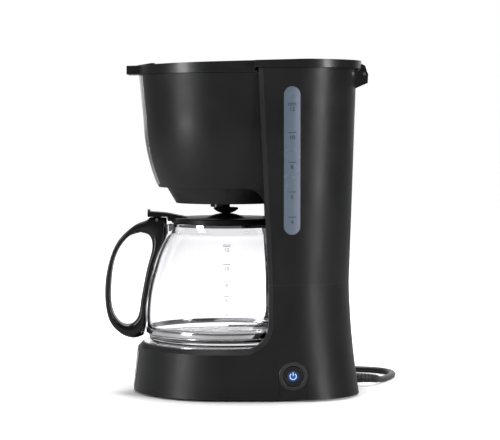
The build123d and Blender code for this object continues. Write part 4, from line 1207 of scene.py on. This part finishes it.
@dataclass
class JugHandle:
    """Closed handle: at every angle about its middle a rounded section from the opening to the outline."""

    middle: tuple = (-100.0, 108.0)          # y and z, in millimetres like the outlines
    half_width: float = 10.0
    power: float = 3.4                       # of the sections: 2 is an ellipse, more is squarer
    rings: int = 288
    sides: int = 40
    slot_low: tuple = (-5.9, -81.0, 158.5)   # corners of the slot for the lid's hinge
    slot_high: tuple = (5.9, -60.0, 170.0)

    OUTLINE = [
        (-82.5, 164.0), (-97.4, 157.3), (-112.6, 141.9), (-121.3, 118.9), (-124.2, 92.0), (-120.5, 68.0),
        (-110.0, 55.0), (-97.5, 50.2), (-87.4, 52.8),
    ]
    TOWARDS_GLASS = [
        (-85.6, 60.0), (-84.6, 66.0), (-84.0, 84.0), (-78.6, 111.0), (-73.4, 129.0), (-65.0, 147.0),
    ]
    BLOCK = [(-65.0, 166.0), (-82.5, 166.0)]
    OPENING = [
        (-90.0, 151.5), (-102.1, 146.7), (-112.6, 132.0), (-117.6, 112.0), (-118.2, 82.0), (-110.5, 66.5),
        (-100.0, 64.0), (-92.5, 72.0), (-89.0, 92.0), (-84.0, 117.0), (-79.0, 137.0), (-81.5, 148.0),
    ]

    def reach(self, loop: np.ndarray, angles: np.ndarray) -> np.ndarray:
        """Measure how far a loop is from the middle: its distance read off between its own points' angles.

        Args:
            loop: Points of the loop, as (y, z).
            angles: Angles about the middle.

        Returns:
            One distance for each angle.
        """
        away = loop - self.middle
        around = np.arctan2(away[:, 1], away[:, 0])
        order = np.argsort(around)
        return np.interp(angles, around[order], np.hypot(*away[order].T), period=2 * math.pi)

    def piece(self) -> bpy.types.Object:
        """Carry a squared ellipse round the middle, from the opening to the outline, and cut the slot.

        Returns:
            The finished handle.
        """
        angles = np.linspace(-math.pi, math.pi, self.rings, endpoint=False)
        ends = np.linspace(0, 1, 60)[:, None]
        block = [self.TOWARDS_GLASS[-1], *self.BLOCK, self.OUTLINE[0]]
        straight = np.vstack([
            np.array(start) + ends * (np.array(end) - start) for start, end in zip(block, block[1:])
        ])
        outline = np.vstack([smooth_line(self.OUTLINE, 16), smooth_line(self.TOWARDS_GLASS, 16), straight])
        opening = smooth_line([*self.OPENING, self.OPENING[0]], 16)[:-1]
        outer = self.reach(outline, angles)[:, None]
        inner = self.reach(opening, angles)[:, None]
        turn = np.linspace(0, 2 * math.pi, self.sides, endpoint=False)[None, :]
        squared = 2 / self.power
        deep = np.sign(np.cos(turn)) * np.abs(np.cos(turn)) ** squared
        wide = np.sign(np.sin(turn)) * np.abs(np.sin(turn)) ** squared
        distance = (outer + inner) / 2 + deep * (outer - inner) / 2
        points = np.stack(
            [
                np.broadcast_to(self.half_width * wide, distance.shape),
                self.middle[0] + distance * np.cos(angles)[:, None],
                self.middle[1] + distance * np.sin(angles)[:, None],
            ],
            axis=-1,
        )
        handle = surface("jug_handle", points * MM, wrap_rows=True)
        cut_out(handle, np.array(self.slot_low) * MM, np.array(self.slot_high) * MM)
        return smooth(handle)


@dataclass
class Jug:
    """Glass jug with its steel bands, handle, lid and printed scale."""

    foot: float = 48.3 * MM
    foot_radius: float = 73.5 * MM
    foot_round: float = 3.4 * MM
    hollow: float = 1.1 * MM                 # of the foot's underside
    wall: float = 2.2 * MM
    floor: float = 51.5 * MM                 # inside
    sweep: float = 10.0 * MM                 # from the floor into the wall
    floor_radius: float = 62.7 * MM          # where the sweep starts
    heights: tuple = (138.0, 121.0, 106.0, 92.0, 79.0)    # of the scale's numbers, in millimetres
    scale_middle: float = -7.0 * MM
    size: float = 4.4 * MM
    stroke: float = 7.0 * MM
    ink_above: float = 0.09 * MM
    band_thick: float = 0.8 * MM

    WALL = [
        (73.5, 52.2), (75.6, 66.0), (75.2, 82.0), (73.1, 98.0), (69.4, 113.0), (63.6, 131.5), (56.6, 146.0),
        (51.9, 152.4), (50.6, 156.6), (50.6, 159.3),
    ]

    def outline(self, inset: float) -> np.ndarray:
        """Curve of the glass's wall from its foot to its rim.

        Args:
            inset: How far it is set in from the outside.

        Returns:
            Array of (radius, height).
        """
        line = smooth_line([(radius * MM, height * MM) for radius, height in self.WALL], 7)
        line[:, 0] -= inset
        return line

    def glass(self) -> bpy.types.Object:
        """Turn the glass: a foot with a shallow parabola under it, a blown wall and a fire-polished rim.

        Returns:
            The finished glass.
        """
        outer = self.outline(0.0)
        inner = self.outline(self.wall)[::-1]
        reach = self.foot_radius - self.foot_round
        under = np.linspace(0.0, reach, 12)
        bottom = np.stack([under, self.hollow * (1 - (under / reach) ** 2) + self.foot], axis=-1)
        corner = arc((reach, self.foot + self.foot_round), self.foot_round, -80, -8)
        middle = (outer[-1][0] + inner[0][0]) / 2
        lip = arc((middle, outer[-1][1]), (outer[-1][0] - inner[0][0]) / 2, 15, 165)
        swept_to = self.floor + self.sweep
        inside = inner[inner[:, 1] > swept_to]
        inside_corner = arc((self.floor_radius, swept_to), self.sweep, 0, -90, 12)
        flat = np.linspace(self.floor_radius - 4 * MM, 0.0, 6)
        floor_line = np.stack([flat, np.full(6, self.floor)], axis=-1)
        profile = np.vstack([bottom, corner, outer, lip, inside, inside_corner, floor_line])
        return turned("jug_glass_body", profile, closed=False, sharp=60)

    def radius_at(self, z: np.ndarray) -> np.ndarray:
        """Outer radius of the glass at a height."""
        line = self.outline(0.0)
        return np.interp(z, line[:, 1], line[:, 0])

    def x_of(self, y: np.ndarray, z: np.ndarray) -> np.ndarray:
        """The glass's +X side: x squared is the radius squared less the square of the way from the axis.

        Args:
            y: Array of y.
            z: Array of z.

        Returns:
            Array of x, just outside the glass.
        """
        radius = self.radius_at(z) + self.ink_above
        return np.sqrt(np.maximum(radius**2 - (y - AXIS_Y) ** 2, 0))

    def band(self, name: str, node: str, rounding: float) -> bpy.types.Object:
        """A steel band with rounded edges, as large as its node.

        Args:
            name: Name of the piece.
            node: CAD node that gives its size.
            rounding: Radius of its edges.

        Returns:
            The finished band.
        """
        low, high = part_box(node)
        outer = (high.x - low.x) / 2
        section = rounded_box((outer - self.band_thick, low.z), (outer, high.z), rounding)
        return turned(name, section)

    def build(self) -> None:
        """All the jug's pieces."""
        dress(self.glass(), GLASS, Body.CARAFE, "carafe_glass")
        foot_band = self.band("jug_foot_band", "carafe_foot_band", 0.35 * MM)
        dress(foot_band, BRIGHT_STEEL, Body.CARAFE, "carafe_foot_band")
        neck_band = copy_of("carafe_neck_band", "jug_neck_band", 0.2 * MM)
        dress(neck_band, BRIGHT_STEEL, Body.CARAFE, "carafe_neck_band")
        dress(JugHandle().piece(), GLOSS, Body.CARAFE, "carafe_handle")
        dress(copy_of("carafe_lid", "jug_lid", 0.5 * MM), SATIN, Body.CARAFE, "carafe_lid")
        heights = tuple(height * MM for height in self.heights)
        scale = Marks("jug_scale", heights, self.scale_middle, self.size, self.stroke)
        dress(scale.on(self.x_of), GREY_INK, Body.CARAFE)


@dataclass
class PowerLead:
    """Strain relief, lead with its coil, and plug."""

    radius: float = 3.2 * MM
    leave: tuple = (-0.026, 0.119, 0.008)    # where the boot leaves the rear wall
    root: float = 9.0 * MM                   # of the boot inside the wall
    bend: float = 22.0 * MM
    turn: float = 62.0                       # degrees that the boot turns by
    drop: float = 2.4 * MM
    thick: float = 4.8 * MM                  # radius of the boot at the wall
    thin: float = 3.8 * MM                   # and at its end
    grooves: int = 7
    groove: float = 0.35 * MM
    coil_centre: tuple = (-0.171, 0.033)
    coil_radius: float = 35.2 * MM
    on_table: float = 3.25 * MM              # height of the lead's middle, lying on the table
    on_top: float = 9.65 * MM                # and on another turn
    turns: float = 2.5
    steps: int = 16                          # points in every turn of the coil

    # From the boot down to the table and round behind the machine to the coil.
    ROUTE = [
        (-0.03767, 0.13842, 0.00560), (-0.04763, 0.14372, 0.00333), (-0.07100, 0.15350, 0.00325),
        (-0.09600, 0.16000, 0.00325), (-0.11900, 0.15200, 0.00325), (-0.13200, 0.13100, 0.00325),
        (-0.13450, 0.10600, 0.00325), (-0.13300, 0.08000, 0.00325), (-0.13260, 0.03300, 0.00325),
    ]
    # From the top of the coil over its outer turn and down to the plug.
    TO_PLUG = [(-0.20650, 0.04500, 0.00995), (-0.20710, 0.05800, 0.00915), (-0.20750, 0.07000, 0.00730)]

    def boot(self) -> bpy.types.Object:
        """Taper the boot: a circle that shrinks along a falling arc, less a groove where a sine is low.

        Returns:
            The finished boot.
        """
        share = np.linspace(0, 1, 61)
        angle = np.radians(self.turn * share)
        x, y, z = self.leave
        outwards = self.bend * np.sin(angle)
        sideways = self.bend * (1 - np.cos(angle))
        bent = np.stack([x - sideways, y + outwards, z - self.drop * share**2], axis=-1)
        root = np.array([[x, y - self.root, z], [x, y - 0.4 * MM, z]])
        path = np.vstack([root, bent])
        taper = self.thick + (self.thin - self.thick) * share
        low = np.sin(2 * math.pi * share * self.grooves) < -0.2
        cut = self.groove * (low & (share > 0.12) & (share < 0.93))
        radii = np.concatenate([[self.thick, self.thick], taper - cut])
        return swept("lead_boot", path, radii, 40)

    def coil_points(self) -> list:
        """Wind the coil: one turn outside, one inside it on the table, and the last half on top.

        Returns:
            Control points, further out than the coil's radius because its spline runs inside them.
        """
        knots = [0.0, 0.6, 0.95, 1.5, 1.65, 1.95, 2.25, 2.5]
        offsets = self.radius * np.array([1.0, 1.0, -1.0, -1.0, -0.5, 0.0, 0.0, 0.0])
        low, high = self.on_table, self.on_top
        heights = [low, low, low, low, high, high, high - 0.65 * MM, high]
        inside = 0.75 + 0.25 * math.cos(2 * math.pi / self.steps)
        x, y = self.coil_centre
        points = []
        for step in range(1, int(self.turns * self.steps) + 1):
            done = step / self.steps
            radius = (self.coil_radius + float(np.interp(done, knots, offsets))) / inside
            angle = -2 * math.pi * done
            height = float(np.interp(done, knots, heights))
            points.append((x + radius * math.cos(angle), y + radius * math.sin(angle), height))
        return points

    def lead(self) -> bpy.types.Object:
        """Lay the whole lead as one open spline with a round section.

        Returns:
            The lead.
        """
        points = [*self.ROUTE, *self.coil_points(), *self.TO_PLUG]
        curve = bpy.data.curves.new("power_lead", "CURVE")
        curve.dimensions = "3D"
        curve.bevel_depth = self.radius
        curve.bevel_resolution = 6
        curve.resolution_u = 8
        curve.use_fill_caps = True
        spline = curve.splines.new("NURBS")
        spline.points.add(len(points) - 1)
        weights = np.ones((len(points), 1))
        spline.points.foreach_set("co", np.hstack([np.array(points), weights]).ravel())
        spline.order_u = 3
        spline.use_endpoint_u = True
        piece = bpy.data.objects.new("power_lead", curve)
        bpy.context.scene.collection.objects.link(piece)
        return piece

    def build(self) -> None:
        """Boot, lead and plug."""
        boot = dress(self.boot(), RUBBER, Body.MACHINE, "strain_relief")
        lead = dress(self.lead(), SHEATH, Body.MACHINE, "power_cord", "cord_coil", "plug_lead")
        plug = dress(copy_of("plug_body", "plug_shell", 0.6 * MM), RUBBER, Body.MACHINE, "plug_body")
        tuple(self.ROUTE[0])


@dataclass
class Studio:
    """Pale floor, soft light and the camera."""

    eye: tuple = (1.850, 0.0145, 0.250)
    pitch: float = 2.69                      # degrees below level
    sensor: float = 36.0                     # width, in millimetres
    lens: float = 139.3                      # focal length, in millimetres
    aim: tuple = (0.0, 0.0, 0.15)            # what every light faces
    half_floor: float = 12.0
    footprint: tuple = (0.0885, 0.1070)      # half sizes of the machine's foot
    floor_glow: tuple = (0.45, 0.35)         # painted light: glow just clear of the foot, none under it as a painted shadow, and what the far floor has on top
    floor_shown: tuple = (0.9, 0.9, 0.9, 1.0)
    # Painted shade: the floor is darker where it is mirrored or lights the machine than where it is looked
    # at.
    floor_mirrored: tuple = (0.42, 0.42, 0.42, 1.0)

    # Name, place, width and height, and power in watts of each light.
    SOFTBOXES = [
        ("front_strip", (0.75, -1.1, 0.45), (0.34, 1.2), 13.5),
        ("rear_strip", (0.85, 1.05, 0.45), (0.30, 1.2), 12.0),
        ("overhead", (-0.5, 0.0, 1.9), (1.4, 1.6), 38.0),
    ]

    @staticmethod
    def seen(wiring: Wiring) -> Socket:
        """1 for what is looked at directly or through glass, and 0 for what is mirrored or lights up."""
        path = wiring.tree.nodes.new("ShaderNodeLightPath")
        return wiring.math("MAXIMUM", path.outputs["Is Camera Ray"], path.outputs["Is Transmission Ray"])

    def floor(self) -> None:
        """Large pale floor with painted light: it glows a little all round the machine but not under it,
        which paints a shadow at the foot, and it is painted darker where it is mirrored or lights the
        machine.
        """
        half = self.half_floor
        corners = np.array([[-half, -half, 0], [half, -half, 0], [half, half, 0], [-half, half, 0]])
        piece = mesh_object("floor", corners, [[0, 1, 2, 3]])
        paint = bpy.data.materials.new("pale_floor")
        paint.use_nodes = True
        wiring = Wiring(paint.node_tree)
        seen = self.seen(wiring)
        place = Finish.place(wiring)
        away = wiring.node("ShaderNodeVectorMath", {"operation": "LENGTH"})
        in_feet = wiring.stretched(place, (1 / self.footprint[0], 1 / self.footprint[1], 1.0))
        wiring.put(away.inputs[0], in_feet)
        # Painted light: the glow is nil under the foot and rises just clear of it, which paints a shadow
        # round the foot; the far floor gets more painted glow.
        painted_glow_round_foot = wiring.between(away.outputs["Value"], 1.0, 1.3, 0.0, self.floor_glow[0])
        far = wiring.between(away.outputs["Value"], 3.0, 8.0, 0.0, self.floor_glow[1])
        wiring.fill(
            paint.node_tree.nodes["Principled BSDF"],
            Base_Color=wiring.mix(seen, self.floor_mirrored, self.floor_shown),
            Roughness=0.75,
            Emission_Color=WHITE,
            Emission_Strength=wiring.math("MULTIPLY", wiring.math("ADD", painted_glow_round_foot, far), seen),
        )
        piece.data.materials.append(paint)

    def softbox(self, name: str, place: tuple, size: tuple, power: float) -> None:
        """Rectangular light that faces the middle of the machine.

        Args:
            name: Name of the light.
            place: Where it stands.
            size: Its width and height.
            power: Its power in watts.
        """
        light = bpy.data.lights.new(name, "AREA")
        light.shape = "RECTANGLE"
        light.size, light.size_y = size
        light.energy = power
        lamp = bpy.data.objects.new(name, light)
        bpy.context.scene.collection.objects.link(lamp)
        lamp.location = place
        across, along, up = np.array(self.aim) - np.array(place)
        tilt = math.atan2(math.hypot(across, along), -up)
        lamp.rotation_euler = (tilt, 0.0, math.atan2(across, -along) + math.pi)
        lamp.visible_camera = False

    def surroundings(self) -> None:
        """White behind the machine and to be seen through glass; dim in front of it for reflections."""
        world = bpy.data.worlds.new("studio")
        world.use_nodes = True
        wiring = Wiring(world.node_tree)
        direction = wiring.tree.nodes.new("ShaderNodeTexCoord").outputs["Generated"]
        toward = wiring.node("ShaderNodeSeparateXYZ", None, Vector=direction).outputs["X"]
        lit = wiring.between(toward, -0.92, -0.55, 1.0, 0.1)
        wiring.fill(
            world.node_tree.nodes["Background"],
            Color=WHITE,
            Strength=wiring.math("MAXIMUM", lit, self.seen(wiring)),
        )
        bpy.context.scene.world = world

    def camera(self) -> None:
        """Long lens from the machine's right-hand side, a little above it."""
        data = bpy.data.cameras.new("camera")
        data.sensor_width = self.sensor
        data.lens = self.lens
        eye = bpy.data.objects.new("camera", data)
        bpy.context.scene.collection.objects.link(eye)
        eye.location = self.eye
        eye.rotation_euler = (math.radians(90 - self.pitch), 0.0, math.radians(90))
        bpy.context.scene.camera = eye

    def build(self) -> None:
        """All of it."""
        self.camera()
        self.floor()
        self.surroundings()
        for name, place, size, power in self.SOFTBOXES:
            self.softbox(name, place, size, power)
        bpy.context.scene.view_settings.view_transform = "Standard"


def main() -> None:
    """Build every sub-assembly in order."""
    logging.basicConfig(level=logging.INFO, format="%(message)s")
    for part in (Studio(), PowerLead(), NodeFinishes(), Housing(), Lid(), Gauge(), PowerButton(), Jug()):
        part.build()


if __name__ == "__main__":
    main()
